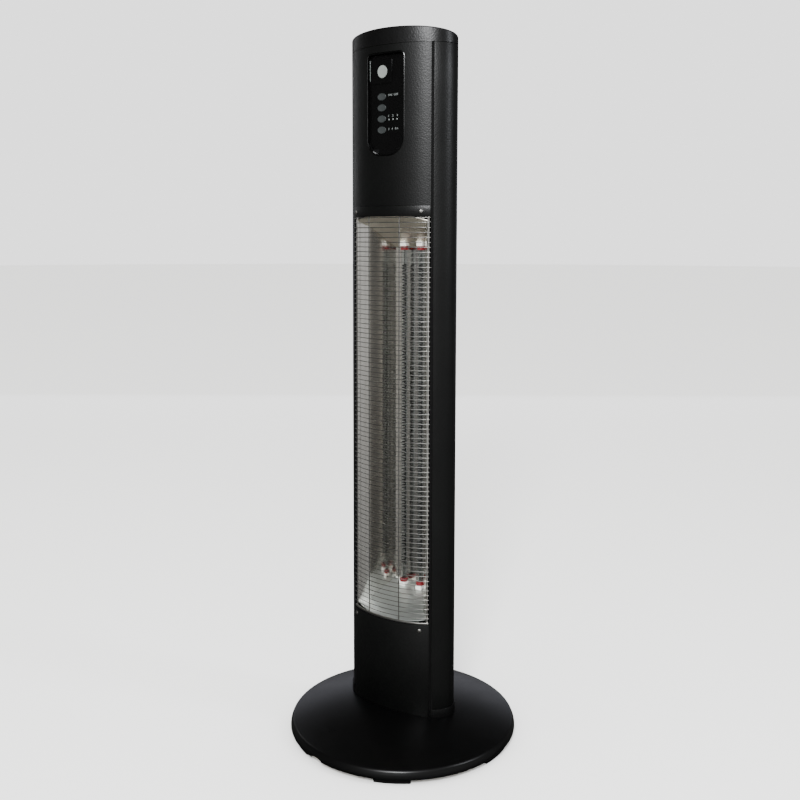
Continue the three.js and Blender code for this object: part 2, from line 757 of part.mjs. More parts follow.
/** A key: its cap, the collar that keeps it in, and the stem that meets its switch. */
function key(outlineAt, front, height) {
  const collarFront = floorBackY + fit;
  const collarBack = collarFront + keyCollarWall;
  const stemBack = boardY - switchSize / 2 - keyTravel - fit;
  const cap = pullBack(outlineAt(0), front, collarFront);
  const collar = pullBack(outlineAt(keyCollar), collarFront, collarBack);
  const stem = pin(keyStemRadius, collarBack - fit, stemBack, keyX, height, 10);
  return joined([cap, collar, stem]);
}

const roundKey = () => (
  key(roundKeyOutline, recessFloorY - windowWall - fit - roundKeyProud, roundKeyHeight));
const ovalKey = (height) => (
  key((grow) => ovalKeyOutline(height, grow), recessFloorY - ovalKeyProud, height));

const lightBar = () => block(lightBarWidth, lightBarWall, lightBarLength,
  lightBarX, recessFloorY - fit - lightBarWall / 2, recessTop - lightBarDrop);

function controlBoard() {
  const bottom = recessBottom + boardMargin - 2 * bossRadius;
  const top = recessTop - boardMargin + 2 * bossRadius;
  const board = block(2 * boardHalfWidth, boardWall, top - bottom,
    0, boardY + boardWall / 2, (top + bottom) / 2);
  const depth = switchSize / 2 - fit / 3;
  const switches = [roundKeyHeight, ...ovalKeyHeights].map((z) => (
    block(switchSize, 2 * depth, switchSize, keyX, boardY, z)));
  const plug = block(...plugSize, plugX, boardY + boardWall + plugSize[1] / 2 - fit,
    (top + bottom) / 2);
  return joined([board, ...switches, plug]);
}

function powerBoard() {
  const [width, height] = powerBoardSize;
  const bottom = bulkheadBottom + bulkheadWall + fit;
  const board = block(width, boardWall, height, 0, powerBoardY, bottom + height / 2);
  const standing = (size, x, lift) => (
    block(...size, x, powerBoardY - size[1] / 2 - boardWall / 2 + boardOverlap, bottom + lift));
  const relays = [-1, 1].map((side) => standing(relaySize, side * width / 4, relayLift));
  const transformer = standing(transformerSize, 0, transformerLift);
  return joined([board, ...relays, transformer]);
}

// ---------- small parts ----------

function cableInlet() {
  const seat = columnHalfDepth;
  const rim = pin(inletFlange, seat + fit, seat + fit + inletWall, 0, inletHeight, 16);
  const neck = pin(inletRadius, seat - 2 * inletWall, seat + 1, 0, inletHeight, 16);
  const bore = pin(inletBore, seat - 3 * inletWall, seat + 3 * inletWall, 0, inletHeight, 12);
  return rim.add(neck).subtract(bore);
}

const tiltBottom = footPlateTop + fit;
const tiltPivot = tiltBottom + tiltHeight - 4 * tiltPin;

function tiltFrame() {
  const floor = block(tiltWidth, tiltGap + 2 * tiltWall, tiltWall,
    tiltX, tiltY, tiltBottom + tiltWall / 2);
  const cheeks = [-1, 1].map((side) => block(tiltWidth, tiltWall, tiltHeight,
    tiltX, tiltY + side * (tiltGap + tiltWall) / 2, tiltBottom + tiltHeight / 2));
  const half = tiltGap / 2 + tiltWall / 2;
  return joined([floor, ...cheeks, pin(tiltPin, tiltY - half, tiltY + half, tiltX, tiltPivot, 10)]);
}

function tiltPendulum() {
  const half = tiltWeightWall / 2;
  const hub = pin(2 * tiltPin + fit, tiltY - half, tiltY + half, tiltX, tiltPivot, 12);
  const arm = block(2 * tiltPin, tiltWeightWall / 2, tiltArm, tiltX, tiltY, tiltPivot - tiltArm / 2);
  const weight = pin(tiltWeightRadius, tiltY - half, tiltY + half,
    tiltX, tiltPivot - tiltArm + tiltWeightRadius, 16);
  const hole = pin(tiltPin + fit, tiltY - tiltGap, tiltY + tiltGap, tiltX, tiltPivot, 12);
  return joined([hub, arm, weight]).subtract(hole);
}

// ---------- the heater ----------

const finish = {
  texturedBlack: { color: 0x2a2c2d, roughness: 0.62, metalness: 0.35 },
  satinBlack: { color: 0x26272b, roughness: 0.42, metalness: 0.3 },
  glossBlack: { color: 0x0b0b0d, roughness: 0.12, metalness: 0 },
  chrome: { color: 0xcfd0cf, roughness: 0.14, metalness: 1 },
  polished: { color: 0xb9bab4, roughness: 0.2, metalness: 1 },
  zinc: { color: 0x9a9c9e, roughness: 0.4, metalness: 0.9 },
  glass: { color: 0xdfe3e4, roughness: 0.05, metalness: 0 },
  carbon: { color: 0x24201e, roughness: 0.8, metalness: 0 },
  ceramic: { color: 0xe8e7e2, roughness: 0.5, metalness: 0 },
  redSilicone: { color: 0xa02a2e, roughness: 0.55, metalness: 0 },
  silverKey: { color: 0xd9dad8, roughness: 0.3, metalness: 0.1 },
  greyKey: { color: 0x8b8f90, roughness: 0.45, metalness: 0.1 },
  paleLight: { color: 0xd0d3d0, roughness: 0.3, metalness: 0 },
  board: { color: 0x2f5a3a, roughness: 0.6, metalness: 0 },
  rubber: { color: 0x17171a, roughness: 0.8, metalness: 0 },
  concrete: { color: 0x77746c, roughness: 0.9, metalness: 0 },
};

const heater = new THREE.Group();

function add(name, body, look) {
  const mesh = new THREE.Mesh(surface(body), new THREE.MeshStandardMaterial(finish[look]));
  mesh.name = name;
  heater.add(mesh);
}

add('base_cover', baseCover(), 'satinBlack');
add('base_weight', baseWeight(), 'concrete');
padTurns().forEach((turn, i) => add(`foot_pad_${i + 1}`, footPad(turn), 'rubber'));
add('column_foot', columnFoot(), 'zinc');
boltPlaces().forEach((place, i) => add(`foot_bolt_${i + 1}`, footBolt(place), 'zinc'));
add('foot_collar', footCollar(), 'satinBlack');

add('rear_housing', rearHousing(), 'texturedBlack');
add('lower_front_panel', lowerPanel(), 'texturedBlack');
add('upper_front_panel', upperPanel(), 'texturedBlack');
add('top_trim', topTrim(), 'texturedBlack');
add('top_cap', topCap(), 'satinBlack');
add('upper_bulkhead', upperBulkhead(), 'zinc');
Object.entries(panelScrews).forEach(([place, screw]) => add(`panel_screw_${place}`, screw.piece, 'chrome'));
Object.entries(rearScrews).forEach(([place, screw]) => add(`rear_screw_${place}`, screw.piece, 'zinc'));

add('guard', guard(), 'chrome');
add('reflector', reflector(), 'polished');
add('lower_end_plate', endPlate(lowerPlateSlope), 'polished');
add('upper_end_plate', upsideDown(endPlate(upperPlateSlope)), 'polished');
add('lower_lamp_bracket', lampBracket(lowerPlateSlope), 'zinc');
add('upper_lamp_bracket', upsideDown(lampBracket(upperPlateSlope)), 'zinc');
['left', 'right'].forEach((side, i) => {
  const x = lampPlaces[i];
  add(`lamp_tube_${side}`, lampTube(x), 'glass');
  add(`heater_core_${side}`, heaterCore(x), 'carbon');
  add(`lower_ceramic_${side}`, ceramicBlock(x, lowerPlateSlope), 'ceramic');
  add(`upper_ceramic_${side}`, upsideDown(ceramicBlock(x, upperPlateSlope)), 'ceramic');
  add(`lower_seal_${side}`, lampSeal(x, lowerPlateSlope), 'redSilicone');
  add(`upper_seal_${side}`, upsideDown(lampSeal(x, upperPlateSlope)), 'redSilicone');
});
add('thermal_cutout', thermalCutout(), 'zinc');

add('control_panel', controlPanel(), 'glossBlack');
add('sensor_window', sensorWindow(), 'glossBlack');
add('round_key', roundKey(), 'silverKey');
ovalKeyHeights.forEach((height, i) => add(`oval_key_${i + 1}`, ovalKey(height), 'greyKey'));
add('light_bar', lightBar(), 'paleLight');
add('control_board', controlBoard(), 'board');
add('power_board', powerBoard(), 'board');

add('cable_inlet', cableInlet(), 'rubber');
add('tilt_frame', tiltFrame(), 'zinc');
add('tilt_pendulum', tiltPendulum(), 'zinc');

export default heater;
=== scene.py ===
import math

import bmesh
import bpy
from mathutils import Matrix, Vector


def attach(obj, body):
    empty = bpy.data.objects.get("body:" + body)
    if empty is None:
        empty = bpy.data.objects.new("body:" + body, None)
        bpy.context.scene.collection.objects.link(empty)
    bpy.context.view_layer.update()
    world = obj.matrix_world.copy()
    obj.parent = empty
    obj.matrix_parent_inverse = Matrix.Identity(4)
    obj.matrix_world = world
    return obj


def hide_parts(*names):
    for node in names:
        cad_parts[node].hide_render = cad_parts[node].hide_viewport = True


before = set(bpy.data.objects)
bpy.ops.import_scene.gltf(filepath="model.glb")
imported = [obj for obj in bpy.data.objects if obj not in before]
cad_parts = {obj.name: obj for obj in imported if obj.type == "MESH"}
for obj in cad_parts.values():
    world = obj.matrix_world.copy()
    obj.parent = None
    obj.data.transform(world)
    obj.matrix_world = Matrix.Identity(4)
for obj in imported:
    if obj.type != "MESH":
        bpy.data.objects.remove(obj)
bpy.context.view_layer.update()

# Lengths are in millimetres while a piece is shaped, and made metres when it is placed.
millimetre = 0.001
near = 0.01          # places closer than this count as one
root = "heater"


def linearColour(code):
    parts = [int(code[i:i + 2], 16) / 255 for i in (1, 3, 5)]
    return tuple(c / 12.92 if c <= 0.04045 else ((c + 0.055) / 1.055) ** 2.4 for c in parts) + (1,)


def addNode(tree, kind, settings, **links):
    # a socket whose name repeats on its node is given by its number, as 6 or as _6
    node = tree.nodes.new(kind)
    for name, value in settings.items():
        if isinstance(name, int) or name in node.inputs:
            node.inputs[name].default_value = value
        else:
            setattr(node, name, value)
    for socket, (source, output) in links.items():
        place = int(socket[1:]) if socket[0] == "_" else socket
        tree.links.new(source.outputs[output], node.inputs[place])
    return node


def newObject(name, data):
    thing = bpy.data.objects.new(name, data)
    bpy.context.scene.collection.objects.link(thing)
    return thing


def meshObject(name, bm):
    mesh = bpy.data.meshes.new(name)
    bm.to_mesh(mesh)
    bm.free()
    return newObject(name, mesh)


# camera and studio

camera = {
    "place": (955.6, -1360.5, 873.4),
    "azimuth": 35.08,        # degrees round from the front
    "pitch": 5.4,            # degrees down
    "roll": 0.12,
    "lens": 43.33,
    "sensor": 36.0,
    "shift": (-0.0044, -0.0899),
}


def aimCamera():
    data = bpy.data.cameras.new("camera")
    data.lens = camera["lens"]
    data.sensor_width = camera["sensor"]
    data.shift_x, data.shift_y = camera["shift"]
    data.dof.use_dof = False
    eye = newObject("camera", data)
    turn = (Matrix.Rotation(math.radians(camera["azimuth"]), 4, "Z")
            @ Matrix.Rotation(math.radians(90 - camera["pitch"]), 4, "X")
            @ Matrix.Rotation(math.radians(camera["roll"]), 4, "Z"))
    eye.matrix_world = Matrix.Translation(Vector(camera["place"]) * millimetre) @ turn
    bpy.context.scene.camera = eye


# distances, heights and sizes of the lights are in metres
lights = {
    "window": {"azimuth": 28, "away": 2.6, "height": 2.25, "size": (0.5, 0.7), "aim": 0.9,
               "power": 165, "tint": "#fcfdff"},
    "left": {"azimuth": -97, "away": 2.2, "height": 1.5, "size": (0.35, 1.2), "aim": 0.9,
             "power": 2.6, "tint": "#fcfcff"},
    "side": {"azimuth": 103, "away": 2.2, "height": 1.75, "size": (0.25, 0.8), "aim": 0.9,
             "power": 22, "tint": "#f6f9ff"},
    "backdrop": {"azimuth": 215, "away": 3.6, "height": 0.75, "size": (5.0, 1.3), "aim": 0.5,
                 "power": 14, "tint": "#eef0ff"},
}
studio = {
    "floorRadius": 30.0, "floor": "#f6f6f4", "floorRoughness": 0.9, "floorShine": 0.15,
    "sky": "#f6f6f6", "skyStrength": 2.25,
    "roomRadius": 8.0, "roomMiddle": 0.9,
    # from foot to top: share of the room's height, brightness that the shiny pieces see there
    "roomLevels": ((0.30, 0.09), (0.50, 0.33), (0.60, 0.33), (0.86, 0.12)),
    # the room grows brighter towards one side: its azimuth, the cosines between which it does,
    # and the shares of the brightness there
    "brightAzimuth": 54, "brightSpread": (0.1, 0.85), "brightShares": (0.46, 1.8),
}


def stageObject(name, bm, material):
    thing = meshObject(name, bm)
    thing.data.materials.append(material)
    return thing


def makeSky():
    world = bpy.data.worlds.new("studio")
    world.use_nodes = True
    sky = world.node_tree.nodes["Background"]
    sky.inputs["Color"].default_value = linearColour(studio["sky"])
    sky.inputs["Strength"].default_value = studio["skyStrength"]
    # shiny and clear pieces see the dim room in place of the bright sky and floor
    world.cycles_visibility.glossy = world.cycles_visibility.transmission = False
    bpy.context.scene.world = world


def makeFloor():
    # pale matt vinyl, almost without a shine
    vinyl = bpy.data.materials.new("studio_floor")
    vinyl.use_nodes = True
    shader = vinyl.node_tree.nodes["Principled BSDF"]
    shader.inputs["Base Color"].default_value = linearColour(studio["floor"])
    shader.inputs["Roughness"].default_value = studio["floorRoughness"]
    shader.inputs["Specular IOR Level"].default_value = studio["floorShine"]
    bm = bmesh.new()
    bmesh.ops.create_circle(bm, cap_ends=True, segments=96, radius=studio["floorRadius"])
    floor = stageObject("studio_floor", bm, vinyl)
    floor.visible_glossy = floor.visible_transmission = False


def makeRoom():
    # the dim room that the shiny pieces mirror, brightest at eye level and towards the window
    glow = bpy.data.materials.new("studio_room")
    glow.use_nodes = True
    tree = glow.node_tree
    tree.nodes.clear()
    radius = studio["roomRadius"]
    place = addNode(tree, "ShaderNodeTexCoord", {})
    axes = addNode(tree, "ShaderNodeSeparateXYZ", {}, Vector=(place, "Object"))
    level = addNode(tree, "ShaderNodeMapRange", {"From Min": -radius, "From Max": radius},
                    Value=(axes, "Z"))
    ramp = addNode(tree, "ShaderNodeValToRGB", {}, Fac=(level, "Result"))
    stops = ramp.color_ramp.elements
    heights, brightness = zip(*studio["roomLevels"])
    stops[0].position, stops[1].position = heights[0], heights[-1]
    for height in heights[1:-1]:
        stops.new(height)
    for stop, bright in zip(stops, brightness):
        stop.color = (bright, bright, bright, 1)
    turn = math.radians(studio["brightAzimuth"])
    side = addNode(tree, "ShaderNodeVectorMath",
                   {"operation": "DOT_PRODUCT", 1: (math.sin(turn), -math.cos(turn), 0)},
                   _0=(place, "Object"))
    start, end = (cosine * radius for cosine in studio["brightSpread"])
    dim, full = studio["brightShares"]
    share = addNode(tree, "ShaderNodeMapRange",
                    {"From Min": start, "From Max": end, "To Min": dim, "To Max": full},
                    Value=(side, "Value"))
    shine = addNode(tree, "ShaderNodeEmission", {},
                    Color=(ramp, "Color"), Strength=(share, "Result"))
    addNode(tree, "ShaderNodeOutputMaterial", {}, Surface=(shine, "Emission"))
    bm = bmesh.new()
    bmesh.ops.create_uvsphere(bm, u_segments=48, v_segments=24, radius=radius)
    bmesh.ops.reverse_faces(bm, faces=bm.faces[:])
    bmesh.ops.translate(bm, vec=(0, 0, studio["roomMiddle"]), verts=bm.verts[:])
    room = stageObject("studio_room", bm, glow)
    room.visible_camera = room.visible_diffuse = room.visible_shadow = False


def placeLights():
    for name, look in lights.items():
        data = bpy.data.lights.new(name, "AREA")
        data.shape = "RECTANGLE"
        data.size, data.size_y = look["size"]
        data.energy = look["power"]
        data.color = linearColour(look["tint"])[:3]
        lamp = newObject(name, data)
        turn, away = math.radians(look["azimuth"]), look["away"]
        lamp.location = (away * math.sin(turn), -away * math.cos(turn), look["height"])
        aim = Vector((0, 0, look["aim"])) - lamp.location
        lamp.rotation_euler = aim.to_track_quat("-Z", "Y").to_euler()
        lamp.visible_camera = False


aimCamera()
makeSky()
makeFloor()
makeRoom()
placeLights()
print("stage: camera, floor and lights are set")


# finishes

def newFinish(name):
    material = bpy.data.materials.new(name)
    material.use_nodes = True
    tree = material.node_tree
    shader = tree.nodes["Principled BSDF"]
    place = addNode(tree, "ShaderNodeTexCoord", {})
    return material, tree, shader, place


def patternScale(size):
    return 1 / (size * millimetre)


def coated(name, look):
    material, tree, shader, place = newFinish(name)
    shader.inputs["Metallic"].default_value = look.get("metallic", 0.0)
    shader.inputs["Specular IOR Level"].default_value = look.get("specular", 0.5)
    spread = addNode(tree, "ShaderNodeMapping", {"Scale": look.get("stretch", (1, 1, 1))},
                     Vector=(place, "Object"))
    grain = addNode(tree, "ShaderNodeTexNoise",
                    {"Scale": patternScale(look["grain"]), "Detail": 3.0, "Roughness": 0.6},
                    Vector=(spread, "Vector"))
    patch = addNode(tree, "ShaderNodeTexNoise",
                    {"Scale": patternScale(look["patch"]), "Detail": 4.0, "Roughness": 0.62},
                    Vector=(spread, "Vector"))
    one, other = (linearColour(code) for code in look["colours"])
    tone = addNode(tree, "ShaderNodeMix", {"data_type": "RGBA", 6: one, 7: other},
                   Factor=(patch, "Fac"))
    tree.links.new(tone.outputs[2], shader.inputs["Base Color"])
    # the two noises together vary the gloss: their sum lies mostly between 0.65 and 1.35
    low, high = look["roughness"]
    mixed = addNode(tree, "ShaderNodeMath", {"operation": "ADD"},
                    _0=(patch, "Fac"), _1=(grain, "Fac"))
    rough = addNode(tree, "ShaderNodeMapRange",
                    {"From Min": 0.65, "From Max": 1.35, "To Min": low, "To Max": high},
                    Value=(mixed, "Value"))
    tree.links.new(rough.outputs["Result"], shader.inputs["Roughness"])
    height = grain.outputs["Fac"]
    if "cell" in look:      # pebbles or pores among the grain
        cells = addNode(tree, "ShaderNodeTexVoronoi",
                        {"feature": "SMOOTH_F1", "Scale": patternScale(look["cell"]),
                         "Smoothness": 0.7}, Vector=(spread, "Vector"))
        both = addNode(tree, "ShaderNodeMix", {"data_type": "FLOAT", "Factor": look["cellShare"]},
                       _2=(grain, "Fac"), _3=(cells, "Distance"))
        height = both.outputs[0]
    relief = addNode(tree, "ShaderNodeBump", {"Distance": look["depth"] * millimetre})
    tree.links.new(height, relief.inputs["Height"])
    if "wave" in look:      # long soft swells of rolled or moulded sheet
        swell = addNode(tree, "ShaderNodeMapping", {"Scale": look["waveStretch"]},
                        Vector=(place, "Object"))
        waves = addNode(tree, "ShaderNodeTexNoise",
                        {"Scale": patternScale(look["wave"]), "Detail": 1.0},
                        Vector=(swell, "Vector"))
        broad = addNode(tree, "ShaderNodeBump", {"Distance": look["waveDepth"] * millimetre},
                        Height=(waves, "Fac"))
        tree.links.new(broad.outputs["Normal"], relief.inputs["Normal"])
    tree.links.new(relief.outputs["Normal"], shader.inputs["Normal"])
    return material


# grain, patch, cell and wave are the sizes of a finish's patterns, depth and waveDepth the relief
finishes = {
    # hammered black powder coat on steel: a pebbled skin that breaks a highlight into soft grey
    # grain, drawn a little coarser and deeper than real so that it shows
    "textured_black": {"colours": ("#030303", "#050605"), "roughness": (0.35, 0.45),
                       "specular": 0.25, "grain": 1.8, "patch": 70, "depth": 0.22,
                       "cell": 2.4, "cellShare": 0.6},
    # smooth satin black enamel on the pressed base: slight orange peel, a clean soft sheen
    "satin_black": {"colours": ("#020202", "#030303"), "roughness": (0.27, 0.38),
                    "specular": 0.25, "grain": 2.4, "patch": 80, "depth": 0.035},
    # moulded ABS with a spark-eroded texture: even and slightly dull, the texture drawn coarser
    # than real so that it shows
    "black_plastic": {"colours": ("#020202", "#030303"), "roughness": (0.35, 0.45),
                      "specular": 0.28, "grain": 1.8, "patch": 40, "depth": 0.26,
                      "cell": 2.6, "cellShare": 0.6},
    # glossy black ABS: soft-edged reflections, a faint moulding swell and fine wipe haze
    "gloss_black": {"colours": ("#010101", "#020202"), "roughness": (0.14, 0.26),
                    "specular": 0.35, "grain": 0.8, "patch": 26, "depth": 0.006,
                    "wave": 30, "waveStretch": (1, 1, 1), "waveDepth": 0.03},
    # chrome plate over drawn wire, dulled by heat: soft glints with faint drawing lines
    "chrome": {"colours": ("#94938f", "#7c7b77"), "roughness": (0.32, 0.44), "metallic": 1.0,
               "grain": 1.2, "patch": 18, "depth": 0.02},
    # bright rolled aluminium of the reflector: nearly a mirror, with long soft swells
    "polished_aluminium": {"colours": ("#fcfbf7", "#c6c1b8"), "roughness": (0.09, 0.20),
                           "metallic": 1.0, "grain": 1.4, "patch": 60, "depth": 0.008,
                           "stretch": (1, 1, 0.15),
                           "wave": 70, "waveStretch": (1, 1, 0.3), "waveDepth": 0.45},
    # the same sheet left satin on the end plates: it spreads the light into an even pale grey
    "satin_aluminium": {"colours": ("#c5cac7", "#b6bbb7"), "roughness": (0.40, 0.50),
                        "metallic": 1.0, "grain": 1.2, "patch": 40, "depth": 0.02,
                        "stretch": (0.25, 1, 1)},
    # the upper plate of the same sheet, paler and warmer than the lower plate's: painted light, a
    # lit copy that brightens the plate facing down into the dim room
    "painted_light_aluminium": {"colours": ("#fbf6e8", "#f0eada"), "roughness": (0.48, 0.60),
                       "metallic": 1.0, "grain": 1.2, "patch": 40, "depth": 0.02,
                       "stretch": (0.25, 1, 1)},
    # bright zinc plate on pressed steel: cool grey with cloudy patches
    "zinc": {"colours": ("#a3a6a8", "#85898c"), "roughness": (0.30, 0.48), "metallic": 1.0,
             "grain": 1.5, "patch": 9, "depth": 0.03},
    # wound carbon fibre: dull charcoal with a faint fibre run
    "carbon": {"colours": ("#070505", "#0d0a09"), "roughness": (0.62, 0.82),
               "grain": 0.7, "patch": 6, "depth": 0.08},
    # unglazed steatite: chalky white, very fine pores
    "white_ceramic": {"colours": ("#eeede8", "#dddbd2"), "roughness": (0.48, 0.66),
                      "grain": 0.8, "patch": 8, "depth": 0.04},
    # moulded silicone: soft red with a dusty bloom
    "red_silicone": {"colours": ("#7a141b", "#5e0f15"), "roughness": (0.46, 0.62),
                     "grain": 0.9, "patch": 5, "depth": 0.03},
    # silver lacquer on the round key: smooth, with a slight metal flake
    "silver_key": {"colours": ("#6e726f", "#5f6460"), "roughness": (0.24, 0.34),
                   "metallic": 0.1, "grain": 0.6, "patch": 7, "depth": 0.008},
    # grey ABS keys with a fine matt texture
    "grey_key": {"colours": ("#232626", "#1c1f1f"), "roughness": (0.34, 0.46),
                 "grain": 0.7, "patch": 6, "depth": 0.02},
    # milky diffuser over the indicator
    "pale_light": {"colours": ("#5f6462", "#525755"), "roughness": (0.22, 0.34),
                   "grain": 0.7, "patch": 6, "depth": 0.01},
    # screen-printed pale grey ink, slightly raised and a little worn
    "print": {"colours": ("#666a69", "#525655"), "roughness": (0.5, 0.65),
              "grain": 0.5, "patch": 1.5, "depth": 0.01},
    # green solder mask over copper tracks
    "green_board": {"colours": ("#24522f", "#326a3f"), "roughness": (0.34, 0.5),
                    "grain": 1.2, "patch": 7, "depth": 0.05},
    # moulded black rubber: dull, dusty, slightly rough
    "black_rubber": {"colours": ("#040404", "#070707"), "roughness": (0.66, 0.82),
                     "specular": 0.1, "grain": 0.9, "patch": 12, "depth": 0.06},
    # cast concrete: sandy grey with open pores
    "cast_concrete": {"colours": ("#8a867c", "#69665e"), "roughness": (0.78, 0.94),
                      "grain": 1.8, "patch": 22, "depth": 0.5, "cell": 6, "cellShare": 0.4},
}
paint = {name: coated(name, look) for name, look in finishes.items()}

quartz = {"tint": "#f4f8f8", "ior": 1.46, "roughness": 0.02,
          "line": 1.5, "lineStretch": (1, 1, 0.03), "depth": 0.012}


def makeQuartz():
    # drawn quartz tube: clear, with long faint drawing lines that bend the glints
    material, tree, shader, place = newFinish("quartz")
    shader.inputs["Base Color"].default_value = linearColour(quartz["tint"])
    shader.inputs["Transmission Weight"].default_value = 1.0
    shader.inputs["IOR"].default_value = quartz["ior"]
    shader.inputs["Roughness"].default_value = quartz["roughness"]
    drawn = addNode(tree, "ShaderNodeMapping", {"Scale": quartz["lineStretch"]},
                    Vector=(place, "Object"))
    lines = addNode(tree, "ShaderNodeTexNoise",
                    {"Scale": patternScale(quartz["line"]), "Detail": 1.0},
                    Vector=(drawn, "Vector"))
    relief = addNode(tree, "ShaderNodeBump", {"Distance": quartz["depth"] * millimetre},
                     Height=(lines, "Fac"))
    tree.links.new(relief.outputs["Normal"], shader.inputs["Normal"])
    return material


paint["quartz"] = makeQuartz()
print("stage: finishes are mixed")


# shaping helpers

def made(result, kind=bmesh.types.BMVert):
    # what an extrusion made, of one kind
    return [g for g in result["geom"] if isinstance(g, kind)]


def extrudeFaces(bm, kind=bmesh.types.BMVert):
    return made(bmesh.ops.extrude_face_region(bm, geom=bm.faces[:]), kind)


def vertsOf(faces):
    return list({v for f in faces for v in f.verts})


def faceOut(bm):
    bmesh.ops.recalc_face_normals(bm, faces=bm.faces[:])


def flipFaces(bm):
    bmesh.ops.reverse_faces(bm, faces=bm.faces[:])


def softenEdges(bm, width, segments=2, angle=50, picked=None):
    sharp = math.radians(angle)
    edges = [e for e in bm.edges if len(e.link_faces) == 2 and e.calc_face_angle(0) > sharp
             and (picked is None or picked(e))]
    bmesh.ops.bevel(bm, geom=edges, offset=width, offset_type="OFFSET", affect="EDGES",
                    segments=segments, profile=0.5, material=-1, clamp_overlap=True)


def roundCorners(bm, corners, width, segments):
    bmesh.ops.bevel(bm, geom=corners, offset=width, affect="VERTICES", segments=segments,
                    profile=0.5, material=-1)


def shift(bm, offset=(0, 0, 0), turn=None, scale=None, verts=None):
    # scales, then turns, then moves
    verts = bm.verts[:] if verts is None else verts
    if scale:
        bmesh.ops.scale(bm, vec=Vector(scale), verts=verts)
    if turn:
        degrees, axis = turn
        bmesh.ops.rotate(bm, cent=(0, 0, 0), verts=verts,
                         matrix=Matrix.Rotation(math.radians(degrees), 3, axis))
    bmesh.ops.translate(bm, vec=Vector(offset), verts=verts)


def cuts(bm, axis, places):
    normal = Vector((axis == 0, axis == 1, axis == 2))
    for place in places:
        bmesh.ops.bisect_plane(bm, geom=bm.verts[:] + bm.edges[:] + bm.faces[:], dist=1e-4,
                               plane_co=normal * place, plane_no=normal)


def chain(bm, places, end=None):
    # a line of vertices from place to place, which goes on from an end where one is given
    verts = []
    for place in places:
        if end is None:
            end = bmesh.ops.create_vert(bm, co=place)["vert"][0]
        else:
            end = bmesh.ops.extrude_vert_indiv(bm, verts=[end])["verts"][0]
            end.co = place
        verts.append(end)
    return verts


def mirrored(places):
    # the left half of an outline from its right half, in the order that goes on from it
    return [Vector((-p.x, p.y, 0)) for p in reversed(places)]


def spinRound(bm, steps):
    bmesh.ops.spin(bm, geom=bm.verts[:] + bm.edges[:], cent=(0, 0, 0), axis=(0, 0, 1),
                   dvec=(0, 0, 0), angle=2 * math.pi, steps=steps, use_merge=True)
    bmesh.ops.remove_doubles(bm, verts=bm.verts[:], dist=near / 10)
    faceOut(bm)


def ringBody(profile, steps=40):
    bm = bmesh.new()
    verts = chain(bm, [(r, 0, z) for r, z in profile])
    bm.edges.new((verts[-1], verts[0]))
    spinRound(bm, steps)
    return bm


def brick(size, middle=(0, 0, 0)):
    bm = bmesh.new()
    bmesh.ops.create_cube(bm, size=1)
    shift(bm, scale=size, offset=middle)
    return bm


def standingPlate(halfX, halfZ, x, z):
    bm = bmesh.new()
    bmesh.ops.create_grid(bm, x_segments=1, y_segments=1, size=1)
    shift(bm, turn=(90, "X"))
    shift(bm, scale=(halfX, 1, halfZ), offset=(x, 0, z))
    return bm


def domedHead(radius, flat, place, rings):
    bm = bmesh.new()
    bmesh.ops.create_uvsphere(bm, u_segments=16, v_segments=rings, radius=radius)
    shift(bm, scale=(1, 1, flat), offset=place)
    return bm


def finalShape(thing, *helpers):
    # the mesh that an object ends up with; the objects themselves are removed
    bpy.context.view_layer.update()
    shaped = thing.evaluated_get(bpy.context.evaluated_depsgraph_get())
    mesh = bpy.data.meshes.new_from_object(shaped)
    bm = bmesh.new()
    bm.from_mesh(mesh)
    bpy.data.meshes.remove(mesh)
    for spent in (thing, *helpers):
        bpy.data.objects.remove(spent)
    return bm


def tubesAlong(ways, radius, resolution=2):
    run = bpy.data.curves.new("run", "CURVE")
    run.dimensions = "3D"
    run.bevel_depth = radius
    run.bevel_resolution = resolution
    run.use_fill_caps = True
    for way in ways:
        line = run.splines.new("POLY")
        line.points.add(len(way) - 1)
        for point, place in zip(line.points, way):
            point.co = (*place, 1)
    return finalShape(newObject("run", run))


def carve(bm, cutter):
    body, tool = meshObject("body", bm), meshObject("tool", cutter)
    change = body.modifiers.new("cut", "BOOLEAN")
    change.operation, change.solver, change.object = "DIFFERENCE", "EXACT", tool
    return finalShape(body, tool)


def mergeInto(bm, other):
    mesh = bpy.data.meshes.new("part")
    other.to_mesh(mesh)
    other.free()
    bm.from_mesh(mesh)
    bpy.data.meshes.remove(mesh)


def placePiece(name, bm, finish, node=None, body=root, sharp=34):
    # node is the solid that the piece takes the place of
    bmesh.ops.scale(bm, vec=Vector((1, 1, 1)) * millimetre, verts=bm.verts[:])
    piece = meshObject(name, bm)
    piece.data.materials.append(paint[finish])
    piece.data.shade_smooth()
    piece.data.set_sharp_from_angle(angle=math.radians(sharp))
    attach(piece, body)
    if node:
        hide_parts(node)


# the column's oval and the dome that it stands on

chamber = {"bottom": 217.5, "top": 907.5, "middle": 562.5}
column = {
    "halfWidth": 102, "halfDepth": 57, "capSeam": 1188,
    "panelHalf": 79.5, "groove": 3.5, "fold": 4.7, "foldRound": 1.0,
    "sheet": 1.5, "joint": 0.3, "segments": 224,
}
base = {
    "radius": 200, "edgeRadius": 193, "edgeHeight": 24, "rise": 32,
    "shoulderRadius": 196.4, "shoulderRound": 3.0, "upright": 14.5, "innerDrop": 1,
    "bottom": 8.8, "footRound": 0.6, "wall": 2.2, "rings": 24, "steps": 224,
}
seamHalf = column["panelHalf"] + column["groove"]
sheetTop = column["capSeam"] - 2 * column["joint"]


def domeHeight(radius):
    return base["edgeHeight"] + base["rise"] * (1 - (radius / base["edgeRadius"]) ** 2)


def ovalNormal(place):
    width, depth = column["halfWidth"], column["halfDepth"]
    return Vector((place.x / width ** 2, place.y / depth ** 2, 0)).normalized()


